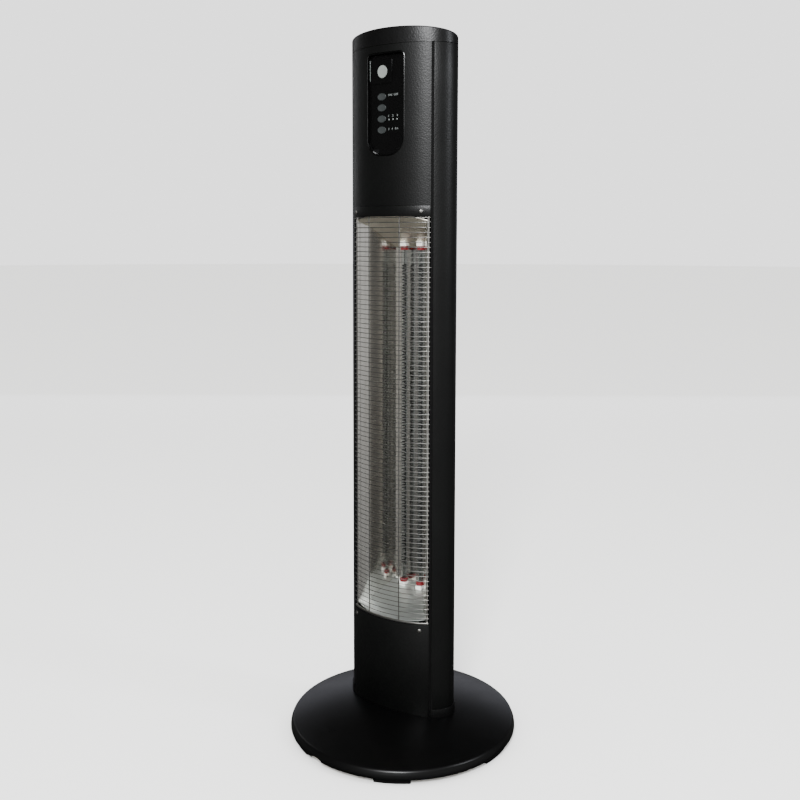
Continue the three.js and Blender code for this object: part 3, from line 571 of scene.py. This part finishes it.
def ovalPoint(x, depth=0.0, z=0.0, rear=False):
    y = column["halfDepth"] * math.sqrt(1 - (x / column["halfWidth"]) ** 2)
    place = Vector((x, y if rear else -y, z))
    return place - depth * ovalNormal(place)


def ovalRing(inset=0.0):
    bm = bmesh.new()
    bmesh.ops.create_circle(bm, segments=column["segments"], radius=1)
    shift(bm, scale=(column["halfWidth"], column["halfDepth"], 1))
    for v in bm.verts:
        v.co -= inset * ovalNormal(v.co)
    return bm


def ovalPath(half, rear=False, inset=0.0):
    # the part of the oval in front of its ends at half, or all the rest of it
    bm = ovalRing(inset)
    cuts(bm, 0, (-half, half))
    if rear:
        spare = [v for v in bm.verts if v.co.y < 0 and abs(v.co.x) < half - near]
    else:
        spare = [v for v in bm.verts if v.co.y > 0 or abs(v.co.x) > half + near]
    bmesh.ops.delete(bm, geom=spare, context="VERTS")
    return bm


def foldEnds(bm, steps):
    for end in [v for v in bm.verts if len(v.link_edges) == 1]:
        side = math.copysign(1, end.co.x)
        chain(bm, [ovalPoint(side * x, depth) for x, depth in steps], end)


def pullUp(bm, low, high, onDome=False):
    for v in bm.verts:
        v.co.z = domeHeight(math.hypot(v.co.x, v.co.y)) + column["joint"] if onDome else low
    for v in made(bmesh.ops.extrude_edge_only(bm, edges=bm.edges[:])):
        v.co.z = high


def thicken(bm, wall):
    # the sheet's outer side stays and its wall grows inwards
    faceOut(bm)
    middles = {f: f.calc_center_median() for f in bm.faces}
    far = max(bm.faces, key=lambda f: abs(middles[f].x) + abs(middles[f].y))
    if far.normal.x * middles[far].x + far.normal.y * middles[far].y <= 0:
        flipFaces(bm)
    bmesh.ops.solidify(bm, geom=bm.faces[:], thickness=wall)
    faceOut(bm)


def frontSheet(low, high, onDome=False):
    bm = ovalPath(column["panelHalf"])
    foldEnds(bm, [(column["panelHalf"], column["fold"])])
    pullUp(bm, low, high, onDome)
    softenEdges(bm, column["foldRound"], segments=3, angle=40)
    thicken(bm, column["sheet"])
    return bm


# base

notch = {"turn": -11, "width": 27, "height": 4.5, "depth": 11, "inset": 3}


def basePiece():
    rings, wall, rim = base["rings"], base["wall"], base["radius"]
    radii = [base["edgeRadius"] * i / rings for i in range(rings + 1)] + [base["shoulderRadius"]]
    outside = [(r, domeHeight(r)) for r in radii]
    shoulderRadius, shoulderHeight = outside[-1]
    outside += [(rim, base["upright"]), (rim, base["bottom"])]
    under = [(rim - wall, base["bottom"]), (rim - wall, base["upright"] - base["innerDrop"]),
             (shoulderRadius - wall, shoulderHeight - 2 * wall)]
    under += [(r, z - wall) for r, z in reversed(outside[:rings])]
    bm = bmesh.new()
    verts = chain(bm, [(r, 0, z) for r, z in outside + under])
    roundCorners(bm, verts[rings + 1:rings + 3], base["shoulderRound"], segments=8)
    foot = [v for v in bm.verts if abs(v.co.z - base["bottom"]) < near]
    roundCorners(bm, foot, base["footRound"], segments=2)
    spinRound(bm, base["steps"])

    arch = bmesh.new()
    bmesh.ops.create_cone(arch, cap_ends=True, segments=48, radius1=1, radius2=1,
                          depth=notch["depth"])
    shift(arch, turn=(90, "X"))
    shift(arch, scale=(notch["width"] / 2, 1, notch["height"]))
    shift(arch, offset=(0, notch["inset"] - rim, base["bottom"]))
    shift(arch, turn=(notch["turn"], "Z"))
    placePiece("base_dome", carve(bm, arch), "satin_black", "base_cover", sharp=28)


# the pads' angles are in degrees round from the front
pad = {"count": 6, "first": 30, "arc": 18, "inner": 168, "outer": 195, "height": 8.5, "round": 1.4}


def footPads():
    inner, outer, height = pad["inner"], pad["outer"], pad["height"]
    for i in range(pad["count"]):
        bm = standingPlate((outer - inner) / 2, height / 2, (outer + inner) / 2, height / 2)
        middle = pad["first"] + i * 360 / pad["count"] - 90
        shift(bm, turn=(middle - pad["arc"] / 2, "Z"))
        bmesh.ops.spin(bm, geom=bm.verts[:] + bm.edges[:] + bm.faces[:], cent=(0, 0, 0),
                       axis=(0, 0, 1), dvec=(0, 0, 0), angle=math.radians(pad["arc"]), steps=14)
        faceOut(bm)
        softenEdges(bm, pad["round"], segments=3)
        placePiece(f"foot_pad_rubber_{i + 1}", bm, "black_rubber", f"foot_pad_{i + 1}")


collar = {"top": 64, "wall": 1.9, "round": 0.7}


def footCollar():
    outset = column["joint"] + collar["wall"]
    bm = ovalPath(ovalPoint(seamHalf, -outset).x, rear=True, inset=-outset)
    pullUp(bm, 0, collar["top"], onDome=True)
    thicken(bm, collar["wall"])
    softenEdges(bm, collar["round"], segments=3)
    placePiece("foot_collar_trim", bm, "black_plastic", "foot_collar")


# column

housing = {
    "flangeDepth": 5, "flangeHalf": 60, "flangeBreaks": (71, 65), "openingHalf": 76, "edge": 0.3,
    "ventCount": 7, "ventPitch": 9, "ventHeight": 3.5, "ventHalf": 28, "ventLowest": 1060,
    "inletHeight": 105, "inletHole": 6.5,
}


def rearHousing():
    opening = housing["openingHalf"]
    bm = ovalPath(seamHalf, rear=True)
    stops = (seamHalf, column["panelHalf"], opening, *housing["flangeBreaks"],
             housing["flangeHalf"])
    foldEnds(bm, [(x, housing["flangeDepth"]) for x in stops])
    pullUp(bm, 0, sheetTop, onDome=True)
    softenEdges(bm, column["foldRound"], segments=3, angle=40)
    bm.normal_update()

    # vents and the inlet's hole: half width, height of the middle, height
    hole = housing["inletHole"]
    slots = [(housing["ventHalf"], housing["ventLowest"] + i * housing["ventPitch"],
              housing["ventHeight"]) for i in range(housing["ventCount"])]
    slots.append((hole, housing["inletHeight"], 2 * hole))
    for half in (housing["ventHalf"], hole):
        cuts(bm, 0, (-half, half))
    for half, middle, height in slots:
        cuts(bm, 2, (middle - height / 2, middle + height / 2))
    cuts(bm, 2, (chamber["bottom"], chamber["top"]))
    spare = []
    for f in bm.faces:
        c = f.calc_center_median()
        atChamber = chamber["bottom"] < c.z < chamber["top"] and abs(c.x) < opening
        atSlot = any(abs(c.x) < half and abs(c.z - middle) < height / 2
                     for half, middle, height in slots)
        if (c.y < 0 and atChamber) or (c.y > 0 and atSlot):
            spare.append(f)
    bmesh.ops.delete(bm, geom=spare, context="FACES")
    thicken(bm, column["sheet"])
    softenEdges(bm, housing["edge"], angle=60)
    placePiece("rear_housing_sheet", bm, "textured_black", "rear_housing")


trim = {"bottom": 907.5, "top": 925, "edge": 0.4}
lowerPanel = {"top": 213.4, "edge": 0.5}
recess = {
    "half": 38.5, "bottom": 1007, "top": 1176, "topRound": 9, "footRound": 30,
    "fit": 0.3, "lip": 2.2, "bead": 0.4, "draft": 1.0, "floor": -48, "back": -46,
    "strip": 4,              # width of the strips that let its edge follow the oval
    "cutter": (-75, -30),    # front and back of the block that cuts the panel
}


def recessShape(inset):
    half = recess["half"] - inset
    low, high = recess["bottom"] + inset, recess["top"] - inset
    bm = standingPlate(half, (high - low) / 2, 0, (high + low) / 2)
    for radius, level in ((recess["topRound"], high), (recess["footRound"], low)):
        corners = [v for v in bm.verts if abs(v.co.z - level) < near]
        roundCorners(bm, corners, radius - inset, segments=12)
    count = int(half // recess["strip"]) - 1
    cuts(bm, 0, [i * recess["strip"] for i in range(-count, count + 1)])
    return bm


def upperPanel():
    bm = frontSheet(trim["top"] + column["joint"], sheetTop)
    front, back = recess["cutter"]
    cutter = recessShape(0)
    shift(cutter, offset=(0, back - front, 0), verts=extrudeFaces(cutter))
    shift(cutter, offset=(0, front, 0))
    faceOut(cutter)
    placePiece("upper_panel_sheet", carve(bm, cutter), "textured_black", "upper_front_panel")


def plainPanels():
    bm = frontSheet(trim["bottom"], trim["top"])
    softenEdges(bm, trim["edge"], angle=60)
    placePiece("top_trim_sheet", bm, "textured_black", "top_trim")

    bm = frontSheet(0, lowerPanel["top"], onDome=True)
    softenEdges(bm, lowerPanel["edge"], angle=60)
    placePiece("lower_panel_sheet", bm, "textured_black", "lower_front_panel")


ledge = {"depth": 4.6, "height": 3.2, "round": 1.3, "short": 3, "gap": 0.1}


def rollLedge():
    # the glossy rolled edge along the top of the lower panel
    bm = ovalPath(column["panelHalf"] - ledge["short"], inset=column["sheet"] + ledge["gap"])
    pullUp(bm, lowerPanel["top"] - ledge["height"], lowerPanel["top"])
    thicken(bm, ledge["depth"] - column["sheet"])
    softenEdges(bm, ledge["round"], segments=3)
    placePiece("lower_panel_ledge", bm, "gloss_black")


# the strips of painted shade in the seam grooves: height of their foot, inset from the groove's
# sides, depth and wall
grooveShade = {"low": 60, "inset": 0.35, "depth": 2.6, "wall": 1.6}


def seamShadeStrips():
    # painted shade: a dull dark strip with the rubber finish lies in each groove between housing
    # and panels and stands for the shadow down the gap, so the seam reads dark
    inner, outer = column["panelHalf"] + grooveShade["inset"], seamHalf - grooveShade["inset"]
    strips = bmesh.new()
    for side in (-1, 1):
        bm = bmesh.new()
        chain(bm, [ovalPoint(side * x, grooveShade["depth"])
                   for x in (inner, (inner + outer) / 2, outer)])
        pullUp(bm, grooveShade["low"], column["capSeam"] - column["joint"])
        thicken(bm, grooveShade["wall"])
        mergeInto(strips, bm)
    placePiece("seam_shade_strips", strips, "black_rubber")


cap = {"front": 28, "slope": 0.194, "wall": 2.5, "round": 2.6}


def topCap():
    seam = column["capSeam"]
    bm = ovalRing()
    bmesh.ops.contextual_create(bm, geom=bm.edges[:])
    shift(bm, offset=(0, 0, seam))
    for v in extrudeFaces(bm):
        v.co.z = seam + cap["front"] - cap["slope"] * (v.co.y + column["halfDepth"])
    faceOut(bm)
    softenEdges(bm, cap["round"], segments=5,
                picked=lambda e: min(v.co.z for v in e.verts) > seam + near)
    under = [f for f in bm.faces if f.normal.z < -0.9]
    bmesh.ops.delete(bm, geom=under, context="FACES_ONLY")
    bmesh.ops.solidify(bm, geom=bm.faces[:], thickness=cap["wall"])
    faceOut(bm)
    placePiece("top_cap_shell", bm, "black_plastic", "top_cap")


basePiece()
footPads()
footCollar()
rearHousing()
upperPanel()
plainPanels()
rollLedge()
seamShadeStrips()
topCap()
print("stage: base, housing, panels and cap are built")


# controls

roundKey = {"x": -8.6, "z": 1146, "halfX": 9.4, "halfZ": 10.3, "proud": 1.5}
ovalKey = {"x": -10.8, "heights": (1105.2, 1087.1, 1069.0, 1050.9), "halfX": 8.5, "halfZ": 5.8,
           "proud": 1.4}
keyShape = {
    "collar": 1.4, "collarWall": 1.2, "stem": 2.0, "stemBack": -44.3,
    "edge": 0.7, "dish": 0.45, "dishRim": 1.5,
    "cutter": (-60, -40),    # front and back of the bar that cuts a key's opening
}
window = {"x": -10, "size": 39, "wall": 1.2, "round": 1.2, "edge": 0.3}
lightBar = {"x": -34.6, "z": 1149, "width": 0.7, "wall": 0.8, "length": 34, "edge": 0.25}


def keyOpening(key, z):
    front, back = keyShape["cutter"]
    gap = recess["fit"]
    bm = bmesh.new()
    bmesh.ops.create_cone(bm, cap_ends=True, segments=64, radius1=1, radius2=1,
                          depth=back - front)
    shift(bm, turn=(90, "X"))
    shift(bm, scale=(key["halfX"] + gap, 1, key["halfZ"] + gap),
          offset=(key["x"], (front + back) / 2, z))
    return bm


def controlTray():
    bm = recessShape(recess["fit"])
    shift(bm, offset=(0, recess["back"], 0))
    region = extrudeFaces(bm, bmesh.types.BMFace)
    for v in vertsOf(region):
        v.co.y = ovalPoint(v.co.x).y + recess["fit"]
    bm.normal_update()
    for proud in (-recess["bead"], recess["bead"]):      # a rounded bead runs along the edge
        bmesh.ops.inset_region(bm, faces=region, thickness=recess["lip"] / 2,
                               use_boundary=True, use_even_offset=True)
        shift(bm, offset=(0, proud, 0), verts=vertsOf(region))
    bmesh.ops.inset_region(bm, faces=region, thickness=recess["draft"],
                           use_boundary=True, use_even_offset=True)
    for v in vertsOf(region):
        v.co.y = recess["floor"]
    bmesh.ops.dissolve_faces(bm, faces=region)
    faceOut(bm)
    cutter = keyOpening(roundKey, roundKey["z"])
    for z in ovalKey["heights"]:
        mergeInto(cutter, keyOpening(ovalKey, z))
    placePiece("control_tray", carve(bm, cutter), "gloss_black", "control_panel", sharp=12)


def sensorWindow():
    size, wall = window["size"], window["wall"]
    bm = brick((size, wall, size),
               (window["x"], recess["floor"] - recess["fit"] - wall / 2, roundKey["z"]))
    softenEdges(bm, window["round"], segments=4,
                picked=lambda e: abs(e.verts[0].co.y - e.verts[1].co.y) > near)
    softenEdges(bm, window["edge"],
                picked=lambda e: all(v.co.y < recess["floor"] - wall for v in e.verts))
    placePiece("sensor_plate", carve(bm, keyOpening(roundKey, roundKey["z"])), "gloss_black",
               "sensor_window", sharp=12)


def keyCap(name, key, z, seat, finish, node):
    # the cap stands in front of its seat, on a wider collar behind the panel and a thin stem
    x, halfX, halfZ, front = key["x"], key["halfX"], key["halfZ"], seat - key["proud"]
    back = recess["back"] + recess["fit"]
    collarBack = back + keyShape["collarWall"]
    wideX, wideZ = halfX + keyShape["collar"], halfZ + keyShape["collar"]
    stem = keyShape["stem"]
    middle = Matrix.Translation((-x, 0, -z))
    bm = bmesh.new()
    bmesh.ops.create_circle(bm, cap_ends=True, segments=64, radius=1)
    shift(bm, turn=(90, "X"))
    shift(bm, scale=(halfX, 1, halfZ), offset=(x, front, z))
    size, rim, face = (halfX, halfZ), bm.edges[:], bm.faces[:][0]
    for nextX, nextZ, y in ((halfX, halfZ, back), (wideX, wideZ, back),
                            (wideX, wideZ, collarBack), (stem, stem, collarBack),
                            (stem, stem, keyShape["stemBack"])):
        grown = bmesh.ops.extrude_edge_only(bm, edges=rim)
        rim, ring = made(grown, bmesh.types.BMEdge), made(grown)
        bmesh.ops.scale(bm, vec=Vector((nextX / size[0], 1, nextZ / size[1])), space=middle,
                        verts=ring)
        for v in ring:
            v.co.y = y
        size = (nextX, nextZ)
    bmesh.ops.contextual_create(bm, geom=rim)
    faceOut(bm)
    bmesh.ops.inset_region(bm, faces=[face], thickness=keyShape["dishRim"],
                           depth=-keyShape["dish"], use_even_offset=True)
    softenEdges(bm, keyShape["edge"], segments=4,
                picked=lambda e: all(abs(v.co.y - front) < near for v in e.verts))
    placePiece(name, bm, finish, node, body=node + "_body", sharp=40)


def controls():
    controlTray()
    sensorWindow()
    floor, fit = recess["floor"], recess["fit"]
    keyCap("round_key_cap", roundKey, roundKey["z"], floor - fit - window["wall"], "silver_key",
           "round_key")
    for i, z in enumerate(ovalKey["heights"], 1):
        keyCap(f"oval_key_cap_{i}", ovalKey, z, floor, "grey_key", f"oval_key_{i}")
    wall = lightBar["wall"]
    bm = brick((lightBar["width"], wall, lightBar["length"]),
               (lightBar["x"], floor - fit - wall / 2, lightBar["z"]))
    softenEdges(bm, lightBar["edge"], segments=3)
    placePiece("indicator_bar", bm, "pale_light", "light_bar")


marks = {
    # plain marks beside the keys: text, left edge, height of its middle, width, letter height
    "rows": (("ON / OFF", 2.2, 1107.2, 20.0, 3.2),
             ("1    2    3", 2.4, 1073.4, 19.0, 3.4),
             ("2   4   8 h", 2.2, 1052.0, 20.0, 3.4)),
    # a dot under each number: left edge, height, width of the row, how many
    "dots": (2.4, 1067.4, 19.0, 3), "dotRadius": 1.3,
    "ink": 0.12, "lift": 0.02,
}


def keyMarks():
    bm = bmesh.new()
    front = recess["floor"] - marks["lift"]
    for words, left, z, width, high in marks["rows"]:
        text = bpy.data.curves.new("mark", "FONT")
        text.body = words
        text.size = 10       # any size, as the row is fitted to its width and height
        row = finalShape(newObject("mark", text))
        xs, ys = [v.co.x for v in row.verts], [v.co.y for v in row.verts]
        shift(row, offset=(-min(xs), -(max(ys) + min(ys)) / 2, 0))
        shift(row, scale=(width / (max(xs) - min(xs)), high / (max(ys) - min(ys)), 1),
              turn=(90, "X"), offset=(left, front, z))
        mergeInto(bm, row)
    left, z, width, count = marks["dots"]
    radius = marks["dotRadius"]
    for i in range(count):
        dot = bmesh.new()
        bmesh.ops.create_circle(dot, cap_ends=True, segments=24, radius=radius)
        shift(dot, turn=(90, "X"), offset=(left + radius + i * (width / 2 - radius), front, z))
        mergeInto(bm, dot)
    bmesh.ops.remove_doubles(bm, verts=bm.verts[:], dist=near / 2)
    bm.normal_update()
    bmesh.ops.reverse_faces(bm, faces=[f for f in bm.faces if f.normal.y > 0])
    shift(bm, offset=(0, -marks["ink"], 0), verts=extrudeFaces(bm))
    faceOut(bm)
    placePiece("key_marks", bm, "print")


controls()
keyMarks()
print("stage: controls are built")


# heating chamber

guard = {
    "wire": 1.15, "pitch": 8.2, "half": 79, "count": 84, "points": 26,
    "uprightWire": 1.84, "uprights": (-75.5, -37, 28, 75.5), "uprightDepth": 2.8,
    "uprightEnds": (216.5, 921.5),
    "railHeight": 3.8, "railDepth": 3.5, "railRound": 1.2,
}


def wireGuard():
    steps, thickness = guard["points"], guard["wire"]
    turn = math.asin(guard["half"] / column["halfWidth"])
    across = [column["halfWidth"] * math.sin(turn * (2 * j / steps - 1))
              for j in range(steps + 1)]
    heights = [chamber["bottom"] + (i + 1) * guard["pitch"] - thickness / 2
               for i in range(guard["count"])]
    wires = [[ovalPoint(x, thickness / 2, z) for x in across] for z in heights]
    uprights = [[ovalPoint(x, guard["uprightDepth"], z) for z in guard["uprightEnds"]]
                for x in guard["uprights"]]
    bm = tubesAlong(wires, thickness / 2)
    mergeInto(bm, tubesAlong(uprights, guard["uprightWire"] / 2))

    rail = ovalPath(guard["half"], inset=column["joint"])
    pullUp(rail, chamber["bottom"] - guard["railHeight"], chamber["bottom"])
    thicken(rail, guard["railDepth"])
    softenEdges(rail, guard["railRound"], segments=4)
    mergeInto(bm, rail)
    placePiece("wire_guard", bm, "chrome", "guard", sharp=60)


reflector = {"sheet": 0.8, "depth": 3.9, "flange": (74.5, 76, 77.4), "knee": (56, -18),
             "back": (44, 40), "bend": 3.0}


def reflectorSheet():
    right = [Vector((*reflector["back"], 0)), Vector((*reflector["knee"], 0))]
    right += [ovalPoint(x, reflector["depth"]) for x in reflector["flange"]]
    bm = bmesh.new()
    chain(bm, mirrored(right) + right)
    pullUp(bm, chamber["bottom"] + column["joint"], chamber["top"] - column["joint"])
    softenEdges(bm, reflector["bend"], segments=5, angle=12)
    faceOut(bm)
    bm.normal_update()
    back = max(bm.faces, key=lambda f: f.calc_center_median().y)
    if back.normal.y < 0:
        flipFaces(bm)
    bmesh.ops.solidify(bm, geom=bm.faces[:], thickness=-reflector["sheet"])
    faceOut(bm)
    placePiece("reflector_sheet", bm, "polished_aluminium", "reflector", sharp=60)


plate = {
    "wall": 1.2, "slopes": {"lower": 0.4, "upper": 0.59}, "frontY": -48, "inset": 4.1,
    "half": 73.5, "edge": 0.25,
    "rivets": ((-27.5, -43.0), (24.0, -44.5)), "rivet": 1.5, "rivetFlat": 0.6, "rivetLift": 0.1,
}


def plateHeight(y, end):
    return chamber["bottom"] + plate["slopes"][end] * (y - plate["frontY"])


def turnOver(bm, end):
    # pieces are shaped at the chamber's lower end, and turned over for its upper end
    if end == "upper":
        middle = Matrix.Translation((0, 0, -chamber["middle"]))
        bmesh.ops.scale(bm, vec=Vector((1, 1, -1)), space=middle, verts=bm.verts[:])
        flipFaces(bm)


def endPlate(end, finish):
    bm = ovalPath(plate["half"], inset=plate["inset"])
    left, start = sorted((v for v in bm.verts if len(v.link_edges) == 1), key=lambda v: v.co.x)
    fit = column["joint"]
    (kneeX, kneeY), (backX, backY) = reflector["knee"], reflector["back"]
    right = [Vector((kneeX - fit, kneeY, 0)), Vector((backX - fit, backY - fit, 0))]
    tail = chain(bm, right + mirrored(right), start)[-1]
    bm.edges.new((tail, left))
    bmesh.ops.contextual_create(bm, geom=bm.edges[:])
    for v in bm.verts:
        v.co.z = plateHeight(v.co.y, end)
    bm.normal_update()
    if bm.faces[:][0].normal.z < 0:
        flipFaces(bm)
    shift(bm, offset=(0, 0, -plate["wall"]), verts=extrudeFaces(bm))
    faceOut(bm)
    softenEdges(bm, plate["edge"], angle=60)
    for x, y in plate["rivets"]:
        place = (x, y, plateHeight(y, end) + plate["rivetLift"])
        mergeInto(bm, domedHead(plate["rivet"], plate["rivetFlat"], place, rings=8))
    turnOver(bm, end)
    placePiece(f"{end}_plate", bm, finish, f"{end}_end_plate")


lamp = {
    "x": 17.5, "y": 28, "tube": 5.6, "wall": 1.0, "reach": 5,
    "coil": 3.45, "strand": 1.1, "coilPitch": 4.9, "coilSteps": 16,
    "lead": 32, "leadRadius": 0.7, "leadOverlap": 1,
    # the seal's section: radius and height over the block
    "seal": ((5.9, 0), (6.7, 0), (7.0, 0.4), (7.0, 5.4), (6.7, 6.1), (5.9, 6.4)),
    "block": 12, "blockHeight": 16, "blockRound": 0.9,
    "clip": 1.7, "clipX": 8.6, "clipFlat": 0.9, "clipLift": 0.6,
}


def blockTop(end):
    return plateHeight(lamp["y"], end) + lamp["reach"]


def lampEnd(side, x, end):
    y, top = lamp["y"], blockTop(end)
    seal = ringBody([(r, top + column["joint"] + z) for r, z in lamp["seal"]])
    shift(seal, offset=(x, y, 0))
    block = brick((lamp["block"], lamp["block"], lamp["blockHeight"]),
                  (x, y, top - lamp["blockHeight"] / 2))
    softenEdges(block, lamp["blockRound"], segments=3)
    turnOver(seal, end)
    turnOver(block, end)
    placePiece(f"{end}_seal_ring_{side}", seal, "red_silicone", f"{end}_seal_{side}")
    placePiece(f"{end}_ceramic_block_{side}", block, "white_ceramic", f"{end}_ceramic_{side}")


def lampTube(side, x):
    y, gap = lamp["y"], column["joint"]
    low = blockTop("lower") + gap
    high = 2 * chamber["middle"] - blockTop("upper") - gap
    outer = lamp["tube"]
    inner = outer - lamp["wall"]
    tube = ringBody([(outer, low), (outer, high), (inner, high), (inner, low)])
    shift(tube, offset=(x, y, 0))
    placePiece(f"quartz_tube_{side}", tube, "quartz", f"lamp_tube_{side}")

    start, end = low + lamp["lead"], high - lamp["lead"]
    count = int((end - start) / lamp["coilPitch"]) * lamp["coilSteps"]
    way = []
    for i in range(count + 1):
        turn = 2 * math.pi * i / lamp["coilSteps"]
        way.append((x + lamp["coil"] * math.cos(turn), y + lamp["coil"] * math.sin(turn),
                    start + (end - start) * i / count))
    coil = tubesAlong([way], lamp["strand"], resolution=0)
    for first, last in ((low, start + lamp["leadOverlap"]), (end - lamp["leadOverlap"], high)):
        mergeInto(coil, tubesAlong([[(x, y, first), (x, y, last)]], lamp["leadRadius"]))
    placePiece(f"carbon_coil_{side}", coil, "carbon", f"heater_core_{side}")


def blockScrews():
    bm = bmesh.new()
    for x in (-lamp["x"] - lamp["clipX"], lamp["x"] + lamp["clipX"]):
        for end in plate["slopes"]:
            place = (x, lamp["y"], plateHeight(lamp["y"], end) + lamp["clipLift"])
            clip = domedHead(lamp["clip"], lamp["clipFlat"], place, rings=10)
            turnOver(clip, end)
            mergeInto(bm, clip)
    placePiece("block_screws", bm, "black_rubber")


def lamps():
    for side, x in (("left", -lamp["x"]), ("right", lamp["x"])):
        lampTube(side, x)
        for end in plate["slopes"]:
            lampEnd(side, x, end)
    blockScrews()


wireGuard()
reflectorSheet()
endPlate("lower", "satin_aluminium")
# the upper plate takes the paler, warmer copy of the sheet: painted light
endPlate("upper", "painted_light_aluminium")
lamps()
print("stage: heating chamber is built")


# screws and inlet

screw = {
    "head": 3.7, "height": 2.1, "shank": 1.5, "length": 7.5,
    # the head's outline, as shares of its radius and height
    "dome": ((0, 1), (0.35, 0.97), (0.65, 0.82), (0.88, 0.55), (1, 0.25)),
    "cross": 0.9, "crossReach": 2.2, "crossDepth": 1.3, "crossLift": 0.2, "crossTurns": (45, 135),
    "panel": {"upper_right": (65, 915.7), "upper_left": (-71, 915.7),
              "lower_right": (65, 203.5), "lower_left": (-71, 203.5)},
    "rear": {"foot_right": (60, 80.3), "foot_left": (-60, 80.3),
             "top_right": (60, 938), "top_left": (-60, 938)},
}


def panHead(x, z, rear):
    head, height, shank, length = (screw[k] for k in ("head", "height", "shank", "length"))
    gap = column["joint"]
    profile = [(head * out, height * up) for out, up in screw["dome"]]
    profile += [(head, gap), (shank, gap), (shank, -length), (0, -length)]
    bm = bmesh.new()
    chain(bm, [(radius, 0, level) for radius, level in profile])
    spinRound(bm, steps=32)
    for turn in screw["crossTurns"]:
        slot = brick((2 * screw["crossReach"], screw["cross"], 2 * screw["crossDepth"]))
        shift(slot, turn=(turn, "Z"), offset=(0, 0, height + screw["crossLift"]))
        bm = carve(bm, slot)
    shift(bm, turn=(90, "X"))      # the head now looks along -Y
    seat = ovalPoint(x, 0, z, rear)
    normal = ovalNormal(seat)
    shift(bm, turn=(math.degrees(math.atan2(normal.x, -normal.y)), "Z"), offset=seat)
    return bm


def screws():
    for side, finish in (("panel", "chrome"), ("rear", "zinc")):
        for spot, (x, z) in screw[side].items():
            placePiece(f"{side}_pan_screw_{spot}", panHead(x, z, side == "rear"), finish,
                       f"{side}_screw_{spot}")


# the rubber bush's section: radius and distance out from the housing
inlet = {"section": ((4, -6), (4, 2.4), (4.6, 3), (9.5, 3), (10.6, 2.5), (11, 1.6), (11, 0.3),
                     (8, 0.3), (8, -6))}


def cableInlet():
    bm = ringBody(inlet["section"], steps=56)
    shift(bm, turn=(-90, "X"), offset=(0, column["halfDepth"], housing["inletHeight"]))
    placePiece("cable_inlet_bush", bm, "black_rubber", "cable_inlet")


screws()
cableInlet()
print("stage: screws and inlet are built")


# the other solids keep their shape and get a finish

keptFinish = {
    "cast_concrete": ("base_weight",),
    "green_board": ("control_board", "power_board"),
    "zinc": ("column_foot", "upper_bulkhead", "lower_lamp_bracket", "upper_lamp_bracket",
             "thermal_cutout", "tilt_frame", "tilt_pendulum",
             "foot_bolt_1", "foot_bolt_2", "foot_bolt_3", "foot_bolt_4"),
}
for finish, nodes in keptFinish.items():
    for node in nodes:
        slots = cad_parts[node].data.materials
        slots.clear()
        slots.append(paint[finish])
print("stage: inner solids have their finish")
